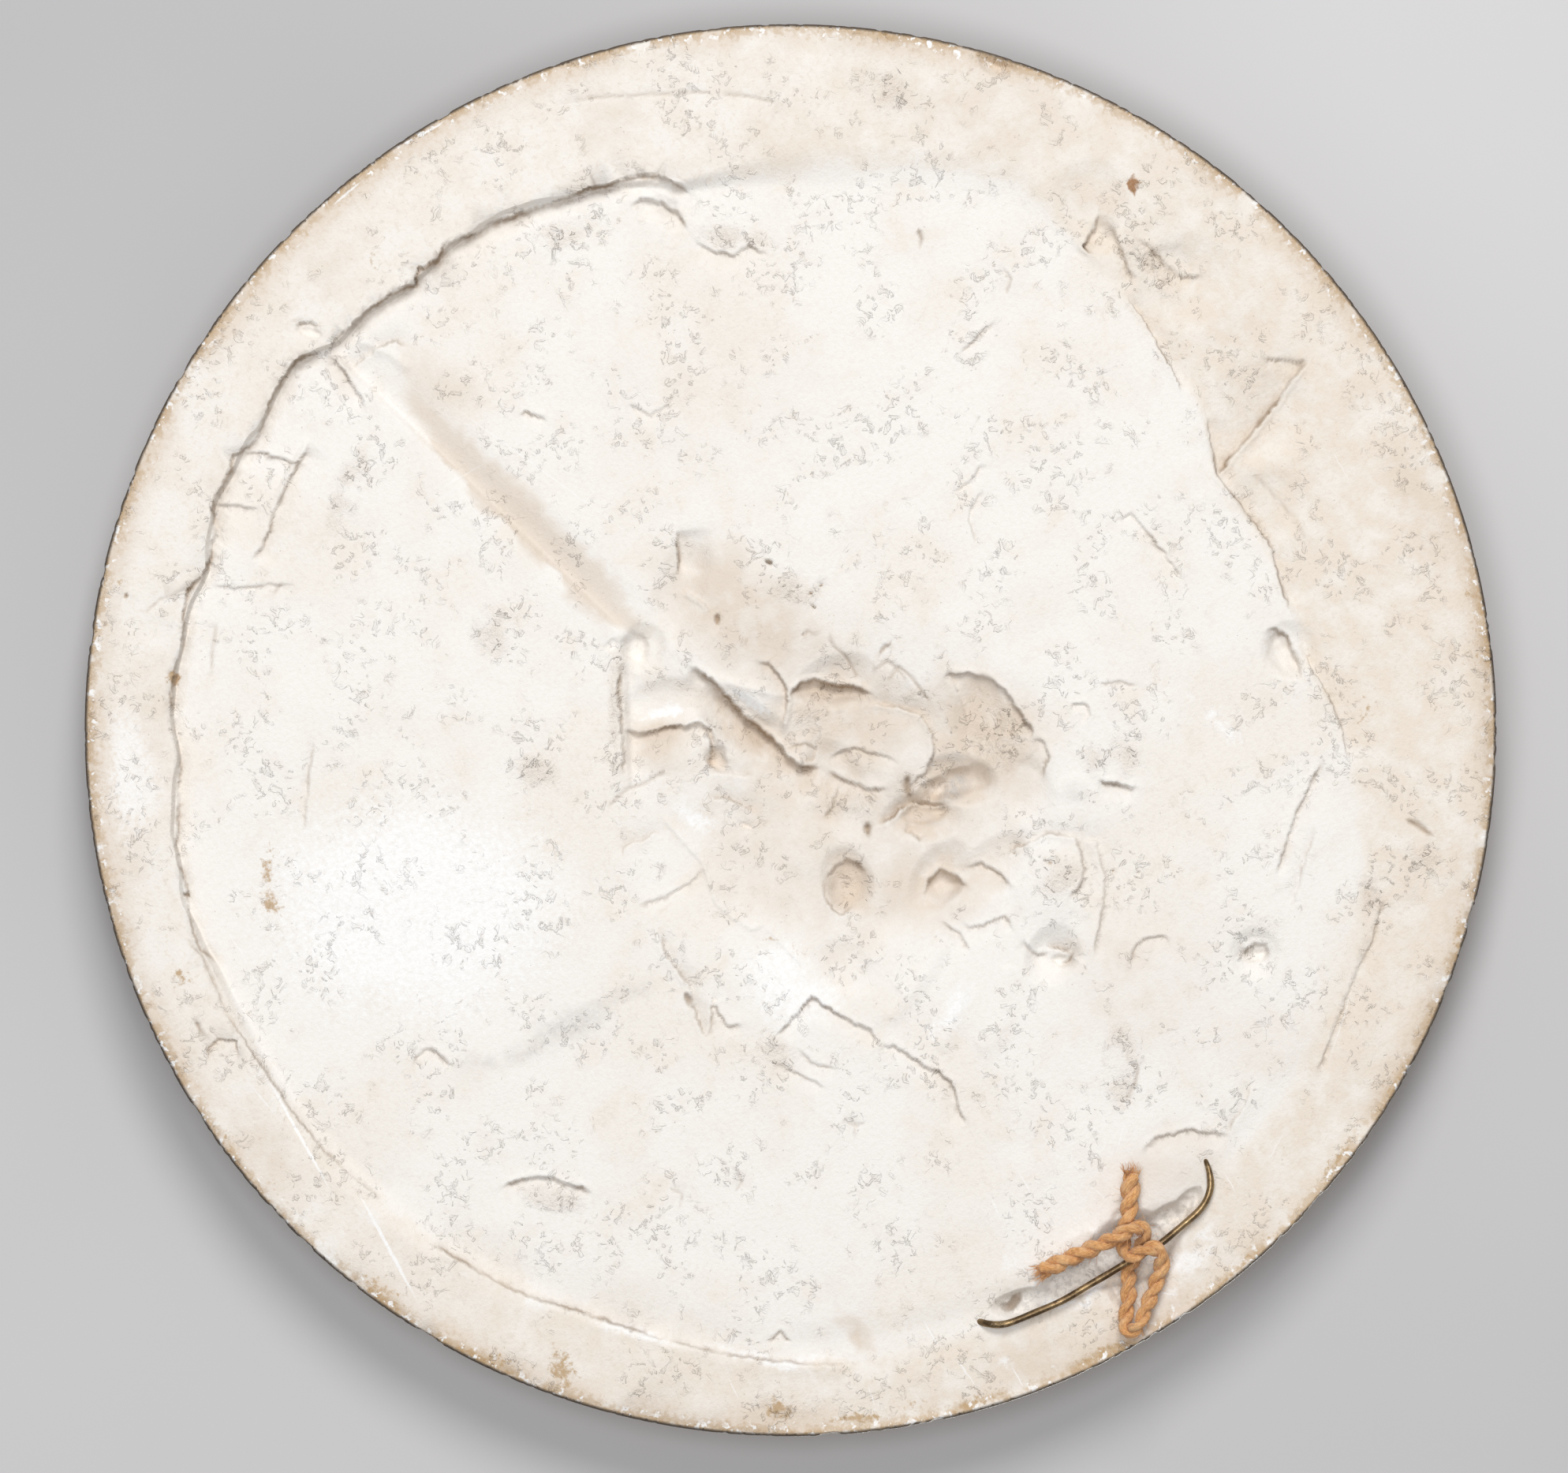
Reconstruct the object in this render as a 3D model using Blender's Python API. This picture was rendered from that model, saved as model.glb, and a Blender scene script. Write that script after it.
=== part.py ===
"""Round plaster wall relief with a wire hanger and a twine loop.

The disc hangs upright: +Z is up, its rough back faces +Y and its moulded front faces -Y.
The origin is inside the bight of the twine loop, where a nail carries the relief.
Every place on the disc is worked out from its own centre, straight below the origin.
"""
import math

import bmesh
import bpy
import numpy as np
from mathutils import Vector

MM = 0.001

# Disc
disc_radius = 200.0 * MM
back_edge_inset = 1.2 * MM
back_edge_round = 1.5 * MM
rim_thickness = 30.0 * MM
ground_thickness = 19.0 * MM
side_lean = 0.8 * MM
front_edge_height = 9.0 * MM
nail_to_edge = 7.0 * MM
nail_to_centre = disc_radius - nail_to_edge
nail_to_back = 4.0 * MM

# Back: a rougher field, struck off below the rim and out of true with it
field_level = -2.3 * MM
field_rise_x = 0.0091
field_rise_z = 0.0086
# Each row is an angle in degrees, the width of the rim there and the width of the slope, in mm
field_edge_rows = (
    (0, 59, 3), (12, 54.5, 3), (22, 53, 3), (30, 43, 4), (45, 32, 14), (75, 24, 16),
    (112, 20, 16), (140, 24, 9), (168, 22, 9), (184, 24, 3), (194, 22, 1.2), (200, 22, 1.2),
    (207, 26.5, 1.2), (214, 24, 1.2), (225, 28.5, 1.4), (231, 24, 1.2), (239, 27, 1.4), (246, 24.5, 1.4),
    (250, 30.5, 1.4), (258, 34, 1.4), (268, 32, 1.4), (279, 36, 1.6), (289, 43, 4), (305, 40, 14),
    (322, 32, 12), (331, 41, 4), (342, 48.5, 3), (352, 53, 3),
)
edge_raggedness = 0.9 * MM
# Waves round the ragged edge: how many, how strong and where they start, in radians
edge_waves = ((23.0, 0.5, 0.0), (41.0, 0.35, 1.3), (67.0, 0.25, 0.4))
ragged_slope_limit = 6.0 * MM
ragged_slope_fade = 4.0 * MM
# The rim sags below its own plane beside the high side of the field
sag_middle_degrees = 2.0
sag_half_span_degrees = 44.0
sag_flatness = 1.5
sag_depth = 2.0 * MM
sag_to_edge = 10.0 * MM

# Back: steps in the struck plaster, as start, end, drop and the width over which the low side recovers
# The first runs from the ledge to the hollow, the others bound the hollow
step_rows = (
    (-61.3, -158.0, -29.0, -47.7, 2.6, 13.0),
    (-30.5, -43.2, -48.8, -8.8, 2.2, 18.0),
    (-0.4, -65.4, -7.6, -52.0, 1.2, 12.0),
)
step_slope = 2.4 * MM
step_start_share = 0.3
step_end_share = 0.5

# Back: the hollow worked by hand in the soft plaster
hollow_centre = (4.0 * MM, 27.0 * MM)
hollow_radius = 66.0 * MM
hollow_lobes = 0.12
hollow_lobe_turn = 0.6
hollow_flatness = 1.5
hollow_depth = 4.2 * MM
finger_width = 16.0 * MM
# Each row is a fingertip's mark: across, up, length, turn in degrees and depth
finger_rows = (
    (-25, -41, 15, 60, 2.4), (-11, -9, 34, 62, 3.2), (-27, -24, 26, 20, 2.2), (18, -6, 26, 10, 2.6),
    (35, 36, 24, 40, 3.6), (21, 40, 24, 30, 3.0), (-7, 45, 22, 100, 2.8), (16, 57, 26, 150, 2.6),
    (30, 62, 30, 170, 1.8), (48, 24, 30, 120, 2.0), (33, 92, 20, 150, 3.0), (-8, -50, 40, 140, 1.6),
    (5, 16, 24, 75, 2.2), (83, 120, 16, 150, 2.4), (-20, 66, 22, 60, 1.4), (50, 48, 26, 95, 1.6),
)

# Back: broken-out patches on the rim, as angle in degrees, distance from the edge, radius and depth
rim_patches = (
    (316.82, -0.21, 7, 4), (329.26, 27.81, 13, 1.4), (341.03, 30.81, 15, 1.6), (20.46, 56.98, 9, 2.2),
    (355.71, 39.55, 17, 1.5), (4.57, 49.52, 12, 1.3), (218.51, 18.53, 5, 3),
)

# Hanger: one wire whose two ends are set in the plaster over a groove cut for the twine
wire_radius = 1.0 * MM
wire_points = 26
socket_clearance = 0.3 * MM
# Route of the wire as across, down from the top of the disc and out from the rim, in mm
wire_route = (
    (-38.5, 31, -6.5), (-36.6, 28.4, -3.2), (-34.5, 26.4, -0.2), (-31.2, 24.4, 1.3), (-26.8, 23.3, 1.6),
    (-16, 22, 1.7), (-4, 21.8, 1.7), (8, 22, 1.7), (19, 22.2, 1.7), (30, 23.9, 1.7),
    (35.5, 25.7, 1.7), (39.2, 28.6, 1.4), (41, 32, 0.8), (41.8, 35, -0.5), (42.2, 38, -3),
    (42.2, 40.5, -6),
)
# Each groove is an oval: across, down from the top of the disc, length, width and depth
groove_rows = (
    (-22, 26, 22, 9, 3.6), (-6, 25, 26, 11, 4.2), (11, 23.5, 31, 24, 5.6), (22, 25.5, 24, 11, 4.4),
    (-26, 27.5, 9, 6, 3.2), (31, 27.5, 14, 7, 2.8), (6, 16, 18, 15, 3.2), (14, 31.5, 11, 11, 1.6),
)
groove_turn_rows = (18, 4, 0, -8, 10, -20, 90, 0)
groove_flatness = 1.6
scrape_sector = (58.0, 122.0)
scrape_side_degrees = 6.0
scrape_width = 34.0 * MM
scrape_depth = 0.8 * MM
scrape_slope = 8.0 * MM

# Twine: one knotted length, from the tip of one tail through the loop to the tip of the other
twine_diameter = 4.0 * MM
twine_points = 70
# Route of the twine as across, down from the top of the disc and out from the rim, in mm
twine_route = (
    (22.2, 44, 3.4), (20.2, 40.9, 3.4), (18.4, 37.8, 3.4), (16, 34.7, 3.1), (13.6, 31.9, 2.3),
    (11.6, 29.3, 1.6), (9.8, 26.7, 2.2), (9.3, 24.3, 4.1), (11.6, 23, 5.4), (14.6, 23, 5.8),
    (17, 22, 5.6), (18, 19.8, 4.6), (16.9, 17, 3.3), (13.8, 14, 2.9), (9.8, 10.8, 3.5),
    (6.4, 8.2, 4.8), (3.6, 5.9, 5.9), (0.8, 4.7, 5.3), (-0.9, 5.7, 3.4), (-0.3, 8, 2.1),
    (2.2, 11, 1.9), (4.3, 14.1, 1.6), (5.9, 16.9, 0.6), (7.5, 19.2, -0.9), (9.5, 21.1, -1.8),
    (11.8, 22.7, -1.9), (14.2, 24.1, -1), (16.2, 25.8, 0.8), (17, 27.8, 3), (15.8, 29.5, 5.1),
    (13.2, 30.2, 6.3), (10.4, 30.2, 6.3), (7.2, 30.2, 5.2), (3.4, 30.4, 4.1), (-1.2, 30.9, 3.3),
    (-6, 31.4, 3), (-10.4, 31.7, 3), (-14.6, 31.9, 3),
)

# Front: rim moulding, laurel wreath and rosette
moulding_width = 20.0 * MM
moulding_swell = 5.0 * MM
cove_width = 11.0 * MM
cove_fullness = 1.6
inner_ring_radius = 92.0 * MM
inner_ring_half_width = 4.5 * MM
inner_ring_height = 3.2 * MM
wreath_radius = 135.0 * MM
wreath_gap_degrees = 9.0
leaf_pairs = 11
leaf_length = 34.0 * MM
leaf_width = 13.0 * MM
leaf_height = 6.0 * MM
leaf_spread_degrees = 28.0
stem_half_width = 2.6 * MM
stem_height = 3.0 * MM
stem_steps = 22
rosette_petals = 8
petal_fill = 0.94
outer_petal_foot = 22.0 * MM
outer_petal_tip = 70.0 * MM
outer_petal_height = 6.0 * MM
inner_petal_foot = 9.0 * MM
inner_petal_tip = 40.0 * MM
inner_petal_height = 8.0 * MM
boss_radius = 14.4 * MM
boss_height = 10.5 * MM
boss_sides = 20
boss_turn = 0.3
# Share of the length, half width and crown height at each station of a leaf and of a petal
leaf_stations = ((0.0, 0.12, 0.50), (0.30, 0.90, 0.92), (0.66, 0.90, 1.0), (1.0, 0.05, 0.35))
petal_stations = ((0.0, 1.0, 0.55), (0.36, 1.0, 0.86), (0.70, 1.0, 1.0), (0.90, 0.78, 0.86), (1.0, 0.40, 0.62))
# Share of the half width and of the crown at each point across a leaf, a petal and a stem
leaf_section = ((-1.0, -0.2), (0.0, 1.0), (1.0, -0.2))
petal_section = ((-1.0, -0.2), (-0.6, 1.0), (0.0, 0.75), (0.6, 1.0), (1.0, -0.2))
stem_section = ((-1.0, -0.5), (-0.6, 0.75), (0.0, 1.0), (0.6, 0.75), (1.0, -0.5))
# Share of the radius and of the height at each level of the boss
boss_profile = ((1.0, -0.15), (1.0, 0.62), (0.80, 0.86), (0.45, 1.0), (0.12, 1.0))

# Mesh
ring_count = 84
rim_ring_width = 26.0 * MM
route_steps = 24
tube_resolution = 2
socket_points = 10
socket_resolution = 3
sharp_angle_degrees = 35.0
body_facets = 4000
seam_weld = 0.002 * MM


def smooth_step(value):
    """0 below 0, 1 above 1 and an even S between them."""
    t = np.clip(value, 0.0, 1.0)
    return t * t * (3.0 - 2.0 * t)


def field_edge(angle):
    """Radius of the field's edge and the width of its slope at each angle, in radians."""
    degrees = np.degrees(angle) % 360.0
    table = np.array(field_edge_rows, dtype=float)
    radius = disc_radius - np.interp(degrees, table[:, 0], table[:, 1], period=360.0) * MM
    width = np.interp(degrees, table[:, 0], table[:, 2], period=360.0) * MM
    ripple = sum(strength * np.sin(count * angle + start) for count, strength, start in edge_waves)
    sharp = smooth_step((ragged_slope_limit - width) / ragged_slope_fade)
    return radius + edge_raggedness * ripple * sharp, width


def oval_dent(x, z, centre, length, width, turn_degrees):
    """1 at the bottom of an oval dent, falling to 0 at its edge."""
    turn = math.radians(turn_degrees)
    along = (x - centre[0]) * math.cos(turn) + (z - centre[1]) * math.sin(turn)
    across = (z - centre[1]) * math.cos(turn) - (x - centre[0]) * math.sin(turn)
    reach = (along / (0.5 * length)) ** 2 + (across / (0.5 * width)) ** 2
    return smooth_step(1.0 - reach)


def step_share(x, z, start, end, fade):
    """Share of a step's drop: full just beside its line and fading away from it."""
    run = np.subtract(end, start)
    length = np.hypot(*run)
    run = run / length
    along = (x - start[0]) * run[0] + (z - start[1]) * run[1]
    beside = (x - start[0]) * run[1] - (z - start[1]) * run[0]
    ends = smooth_step(along / fade + step_start_share)
    ends = ends * smooth_step((length - along) / fade + step_end_share)
    slope = smooth_step(beside / step_slope) * np.clip(1.0 - beside / fade, 0.0, 1.0)
    return slope * ends


def back_height(x, z):
    """How far the back stands out from the rim's plane, negative where it is lower."""
    radius = np.hypot(x, z)
    angle = np.arctan2(z, x)
    degrees = np.degrees(angle) % 360.0
    edge, width = field_edge(angle)
    inside = smooth_step((edge + 0.5 * width - radius) / width)
    level = field_level + field_rise_x * x + field_rise_z * z
    turned = (degrees - sag_middle_degrees + 180.0) % 360.0 - 180.0
    sag = smooth_step(sag_flatness * (1.0 - np.abs(turned) / sag_half_span_degrees))
    sag_outer = disc_radius - sag_to_edge
    sag = sag * np.clip((sag_outer - radius) / (sag_outer - edge), 0.0, 1.0)
    height = inside * level - (1.0 - inside) * sag_depth * sag

    for start_x, start_z, end_x, end_z, drop, fade in step_rows:
        start, end = (start_x * MM, start_z * MM), (end_x * MM, end_z * MM)
        height = height - drop * MM * step_share(x, z, start, end, fade * MM)
    bearing = np.arctan2(z - hollow_centre[1], x - hollow_centre[0])
    reach = hollow_radius * (1.0 + hollow_lobes * np.sin(3.0 * bearing + hollow_lobe_turn) * np.cos(bearing))
    away = np.hypot(x - hollow_centre[0], z - hollow_centre[1]) / reach
    height = height - hollow_depth * smooth_step(hollow_flatness * (1.0 - away))
    for across, up, length, turn, depth in finger_rows:
        mark = oval_dent(x, z, (across * MM, up * MM), length * MM, finger_width, turn)
        height = height - depth * MM * mark
    for bearing, inset, patch_radius, depth in rim_patches:
        away = disc_radius - inset * MM
        centre = (away * math.cos(math.radians(bearing)), away * math.sin(math.radians(bearing)))
        size = 2.0 * patch_radius * MM
        height = height - depth * MM * oval_dent(x, z, centre, size, size, 0.0)

    near = smooth_step((degrees - scrape_sector[0]) / scrape_side_degrees)
    near = near * smooth_step((scrape_sector[1] - degrees) / scrape_side_degrees)
    height = height - scrape_depth * near * smooth_step((radius - disc_radius + scrape_width) / scrape_slope)
    groove = np.zeros_like(x)
    for (across, down, length, wide, depth), turn in zip(groove_rows, groove_turn_rows):
        cut = oval_dent(x, z, (across * MM, disc_radius - down * MM), length * MM, wide * MM, turn)
        groove = np.maximum(groove, depth * MM * np.minimum(1.0, groove_flatness * cut))
    return height - groove


def front_height(x, z):
    """Thickness of the front's plain turned form: rim moulding, cove, ground and inner ring."""
    radius = np.hypot(x, z)
    crest = disc_radius - 0.5 * moulding_width
    swell = np.clip(1.0 - ((radius - crest) / (0.5 * moulding_width)) ** 2, 0.0, 1.0)
    shoulder = rim_thickness - moulding_swell
    moulding = shoulder + moulding_swell * np.sqrt(swell)
    inner = disc_radius - moulding_width
    fall = smooth_step((radius - (inner - cove_width)) / cove_width) ** cove_fullness
    cove = ground_thickness + (shoulder - ground_thickness) * fall
    ring = np.clip(1.0 - ((radius - inner_ring_radius) / inner_ring_half_width) ** 2, 0.0, 1.0)
    ground = ground_thickness + inner_ring_height * np.sqrt(ring)
    return np.where(radius >= inner, moulding, np.maximum(cove, ground))


def ring_start(ring):
    """Number of the first vertex of a ring; ring n holds 6n vertices around the middle one."""
    return 0 if ring == 0 else 1 + 3 * ring * (ring - 1)


def ring_coordinates(rings):
    """Ring number and angle of every vertex of a disc made of nested rings."""
    number = [np.zeros(1)]
    angle = [np.zeros(1)]
    for ring in range(1, rings + 1):
        number.append(np.full(6 * ring, float(ring)))
        angle.append(np.arange(6 * ring) * (2.0 * math.pi / (6 * ring)))
    return np.concatenate(number), np.concatenate(angle)


def ring_faces(rings):
    """Triangles between each ring and the next."""
    faces = []
    for ring in range(rings):
        inner, outer = ring_start(ring), ring_start(ring + 1)
        for sector in range(6):
            for step in range(ring + 1):
                first = outer + sector * (ring + 1) + step
                second = outer + (sector * (ring + 1) + step + 1) % (6 * (ring + 1))
                here = inner + (sector * ring + step) % max(6 * ring, 1)
                faces.append((here, first, second))
                if step < ring:
                    after = inner + (sector * ring + step + 1) % (6 * ring)
                    faces.append((here, second, after))
    return faces


def back_radius(number, angle):
    """Radius of each back vertex, with one ring on each side of the field's edge."""
    outline = disc_radius - back_edge_inset
    edge, width = field_edge(angle)
    low, high = edge - 0.5 * width, edge + 0.5 * width
    last = round(ring_count * (disc_radius - rim_ring_width) / disc_radius)
    inner = low * number / last
    outer = high + (outline - high) * (number - last - 1.0) / (ring_count - last - 1.0)
    return np.where(number <= last, inner, outer)


def plaster_mesh():
    """Closed body of the disc: back, side wall and front."""
    number, angle = ring_coordinates(ring_count)
    faces = ring_faces(ring_count)
    radius = back_radius(number, angle)
    x, z = radius * np.cos(angle), radius * np.sin(angle)
    back = np.column_stack((x, back_height(x, z), z))
    front_rim = disc_radius - side_lean
    radius = front_rim * number / ring_count
    x, z = radius * np.cos(angle), radius * np.sin(angle)
    front = np.column_stack((x, -front_height(x, z), z))

    edge = slice(ring_start(ring_count), ring_start(ring_count + 1))
    around = angle[edge]
    side_rows = (
        (disc_radius - back_edge_inset + 0.7 * back_edge_inset, -0.35 * back_edge_round),
        (disc_radius, -back_edge_round),
        (disc_radius, front_edge_height - rim_thickness),
    )
    points = [back, front]
    for row_radius, depth in side_rows:
        level = np.full_like(around, depth)
        points.append(np.column_stack((row_radius * np.cos(around), level, row_radius * np.sin(around))))
    vertices = np.concatenate(points)
    vertices = vertices - np.array((0.0, nail_to_back, nail_to_centre))

    total = len(number)
    count = 6 * ring_count
    triangles = list(faces)
    triangles += [(a + total, c + total, b + total) for a, b, c in faces]
    starts = [ring_start(ring_count)]
    starts += [2 * total + row * count for row in range(len(side_rows))]
    starts += [total + ring_start(ring_count)]
    for upper, lower in zip(starts, starts[1:]):
        for step in range(count):
            after = (step + 1) % count
            triangles.append((upper + step, lower + step, lower + after))
            triangles.append((upper + step, lower + after, upper + after))
    mesh = bpy.data.meshes.new("plaster_relief")
    mesh.from_pydata(vertices.tolist(), [], triangles)
    shell = bmesh.new()
    shell.from_mesh(mesh)
    bmesh.ops.recalc_face_normals(shell, faces=shell.faces)
    shell.to_mesh(mesh)
    shell.free()
    return mesh


def loft(bodies):
    """Mesh of closed bodies, each a row of sections with the same number of points."""
    shell = bmesh.new()
    for sections in bodies:
        rows = [[shell.verts.new(point) for point in section] for section in sections]
        for row, after in zip(rows, rows[1:]):
            for step in range(len(row)):
                turn = (step + 1) % len(row)
                shell.faces.new((row[step], row[turn], after[turn], after[step]))
        shell.faces.new(rows[0][::-1])
        shell.faces.new(rows[-1])
    bmesh.ops.recalc_face_normals(shell, faces=shell.faces)
    mesh = bpy.data.meshes.new("carving")
    shell.to_mesh(mesh)
    shell.free()
    return mesh


def blade(foot, direction, length, half_widths, stations, section, height):
    """Sections of a leaf or petal that lies on the front's ground and is rooted in it."""
    sections = []
    for (share, _, crown), half in zip(stations, half_widths):
        middle = np.add(foot, np.multiply(direction, share * length))
        points = []
        for side, level in section:
            x = middle[0] + direction[1] * side * half
            z = middle[1] - direction[0] * side * half
            rise = height * level * (crown if level > 0.0 else 1.0)
            points.append(Vector((x, -ground_thickness - rise - nail_to_back, z - nail_to_centre)))
        sections.append(points)
    return sections


def leaf_bodies(lean, shift):
    """The leaves on one edge of two laurel branches that rise from the foot of the disc."""
    bodies = []
    half_widths = [0.5 * leaf_width * half for _, half, _ in leaf_stations]
    span = 180.0 - 3.0 * wreath_gap_degrees
    for side in (-1.0, 1.0):
        for pair in range(leaf_pairs):
            turned = math.radians(0.5 * wreath_gap_degrees + span * (pair + shift) / leaf_pairs)
            foot = (side * wreath_radius * math.sin(turned), -wreath_radius * math.cos(turned))
            way = turned + lean * math.radians(leaf_spread_degrees)
            direction = (side * math.cos(way), math.sin(way))
            leaf = blade(foot, direction, leaf_length, half_widths, leaf_stations, leaf_section, leaf_height)
            bodies.append(leaf)
    return bodies


def stem_bodies():
    """The bare stem of each branch, a half-round ridge."""
    bodies = []
    start = 0.5 * wreath_gap_degrees
    top = 180.0 - 1.5 * wreath_gap_degrees
    for side in (-1.0, 1.0):
        sections = []
        for step in range(stem_steps + 1):
            turned = math.radians(start + (top - start) * step / stem_steps)
            points = []
            for across, level in stem_section:
                radius = wreath_radius + across * stem_half_width
                y = -ground_thickness - level * stem_height - nail_to_back
                z = -radius * math.cos(turned) - nail_to_centre
                points.append(Vector((side * radius * math.sin(turned), y, z)))
            sections.append(points)
        bodies.append(sections)
    return bodies


def petal_bodies(start, tip, height, shift):
    """One ring of petals round the middle of the front."""
    bodies = []
    half_sector = math.pi / rosette_petals
    length = tip - start
    for petal in range(rosette_petals):
        turned = 2.0 * half_sector * (petal + shift)
        direction = (math.cos(turned), math.sin(turned))
        foot = (start * direction[0], start * direction[1])
        half_widths = []
        for share, half, _ in petal_stations:
            widest = (start + share * length) * math.tan(half_sector)
            half_widths.append(petal_fill * half * widest)
        bodies.append(blade(foot, direction, length, half_widths, petal_stations, petal_section, height))
    return bodies


def boss_bodies():
    """The round boss in the middle of the rosette."""
    sections = []
    for reach, level in boss_profile:
        points = []
        for step in range(boss_sides):
            turned = 2.0 * math.pi * (step + boss_turn) / boss_sides
            x = reach * boss_radius * math.cos(turned)
            z = reach * boss_radius * math.sin(turned) - nail_to_centre
            points.append(Vector((x, -ground_thickness - level * boss_height - nail_to_back, z)))
        sections.append(points)
    return [sections]


def place(across, down, out):
    """World position of a point given in mm from the top of the disc and the rim's plane."""
    return Vector((across * MM, out * MM - nail_to_back, nail_to_edge - down * MM))


def smooth_route(route, count):
    """Evenly spaced points on one smooth curve through the route."""
    knots = [place(*row) for row in route]
    knots = [2.0 * knots[0] - knots[1]] + knots + [2.0 * knots[-1] - knots[-2]]
    fine = []
    for first, second, third, fourth in zip(knots, knots[1:], knots[2:], knots[3:]):
        for step in range(route_steps):
            t = step / route_steps
            fine.append(0.5 * (
                2.0 * second + (third - first) * t
                + (2.0 * first - 5.0 * second + 4.0 * third - fourth) * t ** 2
                + (3.0 * second - first - 3.0 * third + fourth) * t ** 3
            ))
    fine.append(knots[-2])
    lengths = np.concatenate(([0.0], np.cumsum([(b - a).length for a, b in zip(fine, fine[1:])])))
    wanted = np.linspace(0.0, lengths[-1], count)
    coordinates = np.array(fine)
    return np.column_stack([np.interp(wanted, lengths, coordinates[:, axis]) for axis in range(3)])


def longer_route(buried_end, rest):
    """Route of a socket: the wire's own route, a clearance longer at its buried end."""
    end, after = np.array(buried_end), np.array(rest[0])
    past = end + (end - after) * (socket_clearance / MM) / np.linalg.norm(end - after)
    return (tuple(past), *rest)


def tube(name, points, radius, resolution=tube_resolution):
    """Round tube with closed ends along a row of points."""
    curve = bpy.data.curves.new(name, "CURVE")
    curve.dimensions = "3D"
    curve.bevel_depth = radius
    curve.bevel_resolution = resolution
    curve.use_fill_caps = True
    spline = curve.splines.new("POLY")
    spline.points.add(len(points) - 1)
    for point, position in zip(spline.points, points):
        point.co = (*position, 1.0)
    spline.use_smooth = True
    item = bpy.data.objects.new(name, curve)
    bpy.context.collection.objects.link(item)
    return item


def tube_cutter(name, points, radius):
    """Mesh of a round tube, for cutting a socket."""
    guide = tube(name + "_guide", points, radius, socket_resolution)
    bpy.context.view_layer.update()
    mesh = bpy.data.meshes.new_from_object(guide.evaluated_get(bpy.context.evaluated_depsgraph_get()))
    bpy.data.objects.remove(guide, do_unlink=True)
    shell = bmesh.new()
    shell.from_mesh(mesh)
    bmesh.ops.remove_doubles(shell, verts=shell.verts, dist=0.001 * MM)
    bmesh.ops.recalc_face_normals(shell, faces=shell.faces)
    shell.to_mesh(mesh)
    shell.free()
    cutter = bpy.data.objects.new(name, mesh)
    cutter.hide_render = True
    cutter.display_type = "WIRE"
    bpy.context.collection.objects.link(cutter)
    return cutter


def material(name, colour, roughness, metallic=0.0):
    """Plain material with the piece's own colour."""
    item = bpy.data.materials.new(name)
    item.use_nodes = True
    shader = item.node_tree.nodes["Principled BSDF"]
    shader.inputs["Base Color"].default_value = (*colour, 1.0)
    shader.inputs["Roughness"].default_value = roughness
    shader.inputs["Metallic"].default_value = metallic
    return item


def make_plaster():
    """The cast disc, with a socket for each end of the wire."""
    mesh = plaster_mesh()
    mesh.shade_smooth()
    mesh.set_sharp_from_angle(angle=math.radians(sharp_angle_degrees))
    disc = bpy.data.objects.new("plaster_relief", mesh)
    bpy.context.collection.objects.link(disc)
    mesh.materials.append(material("plaster", (0.86, 0.83, 0.78), 0.9))
    thin = disc.modifiers.new("facets", "DECIMATE")
    thin.ratio = body_facets / len(mesh.polygons)
    carvings = (
        ("outer_leaves", leaf_bodies(-1.0, 0.0)),
        ("inner_leaves", leaf_bodies(1.0, 0.5)),
        ("stems", stem_bodies()),
        ("outer_petals", petal_bodies(outer_petal_foot, outer_petal_tip, outer_petal_height, 0.0)),
        ("inner_petals", petal_bodies(inner_petal_foot, inner_petal_tip, inner_petal_height, 0.5)),
        ("boss", boss_bodies()),
    )
    for name, bodies in carvings:
        carving = bpy.data.objects.new(name, loft(bodies))
        carving.hide_render = True
        carving.display_type = "WIRE"
        bpy.context.collection.objects.link(carving)
        join = disc.modifiers.new(name, "BOOLEAN")
        join.operation = "UNION"
        join.object = carving
        join.solver = "EXACT"
    reversed_route = wire_route[::-1]
    ends = (
        ("left_socket", longer_route(wire_route[0], wire_route[1:5])),
        ("right_socket", longer_route(reversed_route[0], reversed_route[1:6])),
    )
    for name, route in ends:
        cutter = tube_cutter(name, smooth_route(route, socket_points), wire_radius + socket_clearance)
        cut = disc.modifiers.new(name, "BOOLEAN")
        cut.operation = "DIFFERENCE"
        cut.object = cutter
        cut.solver = "EXACT"
    clean = disc.modifiers.new("clean_seams", "WELD")
    clean.merge_threshold = seam_weld
    return disc


def make_hanger():
    """The wire and the twine knotted round it."""
    wire = tube("hanger_wire", smooth_route(wire_route, wire_points), wire_radius)
    wire.data.materials.append(material("brass_wire", (0.33, 0.24, 0.12), 0.38, 1.0))
    twine = tube("hanging_twine", smooth_route(twine_route, twine_points), 0.5 * twine_diameter)
    twine.data.materials.append(material("twine", (0.78, 0.50, 0.25), 0.95))
    return wire, twine


for old in list(bpy.data.objects):
    bpy.data.objects.remove(old, do_unlink=True)
make_plaster()
make_hanger()
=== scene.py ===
"""Looks of the round plaster wall relief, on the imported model.

The disc hangs upright in the frame: +Z is up, its rough back faces +Y and its moulded front faces -Y.
The camera looks along -Y at the back, rolled so that the hanger is low on the right.
"""
import math

import bmesh
import bpy
import numpy as np
from mathutils import Matrix, Vector


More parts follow.
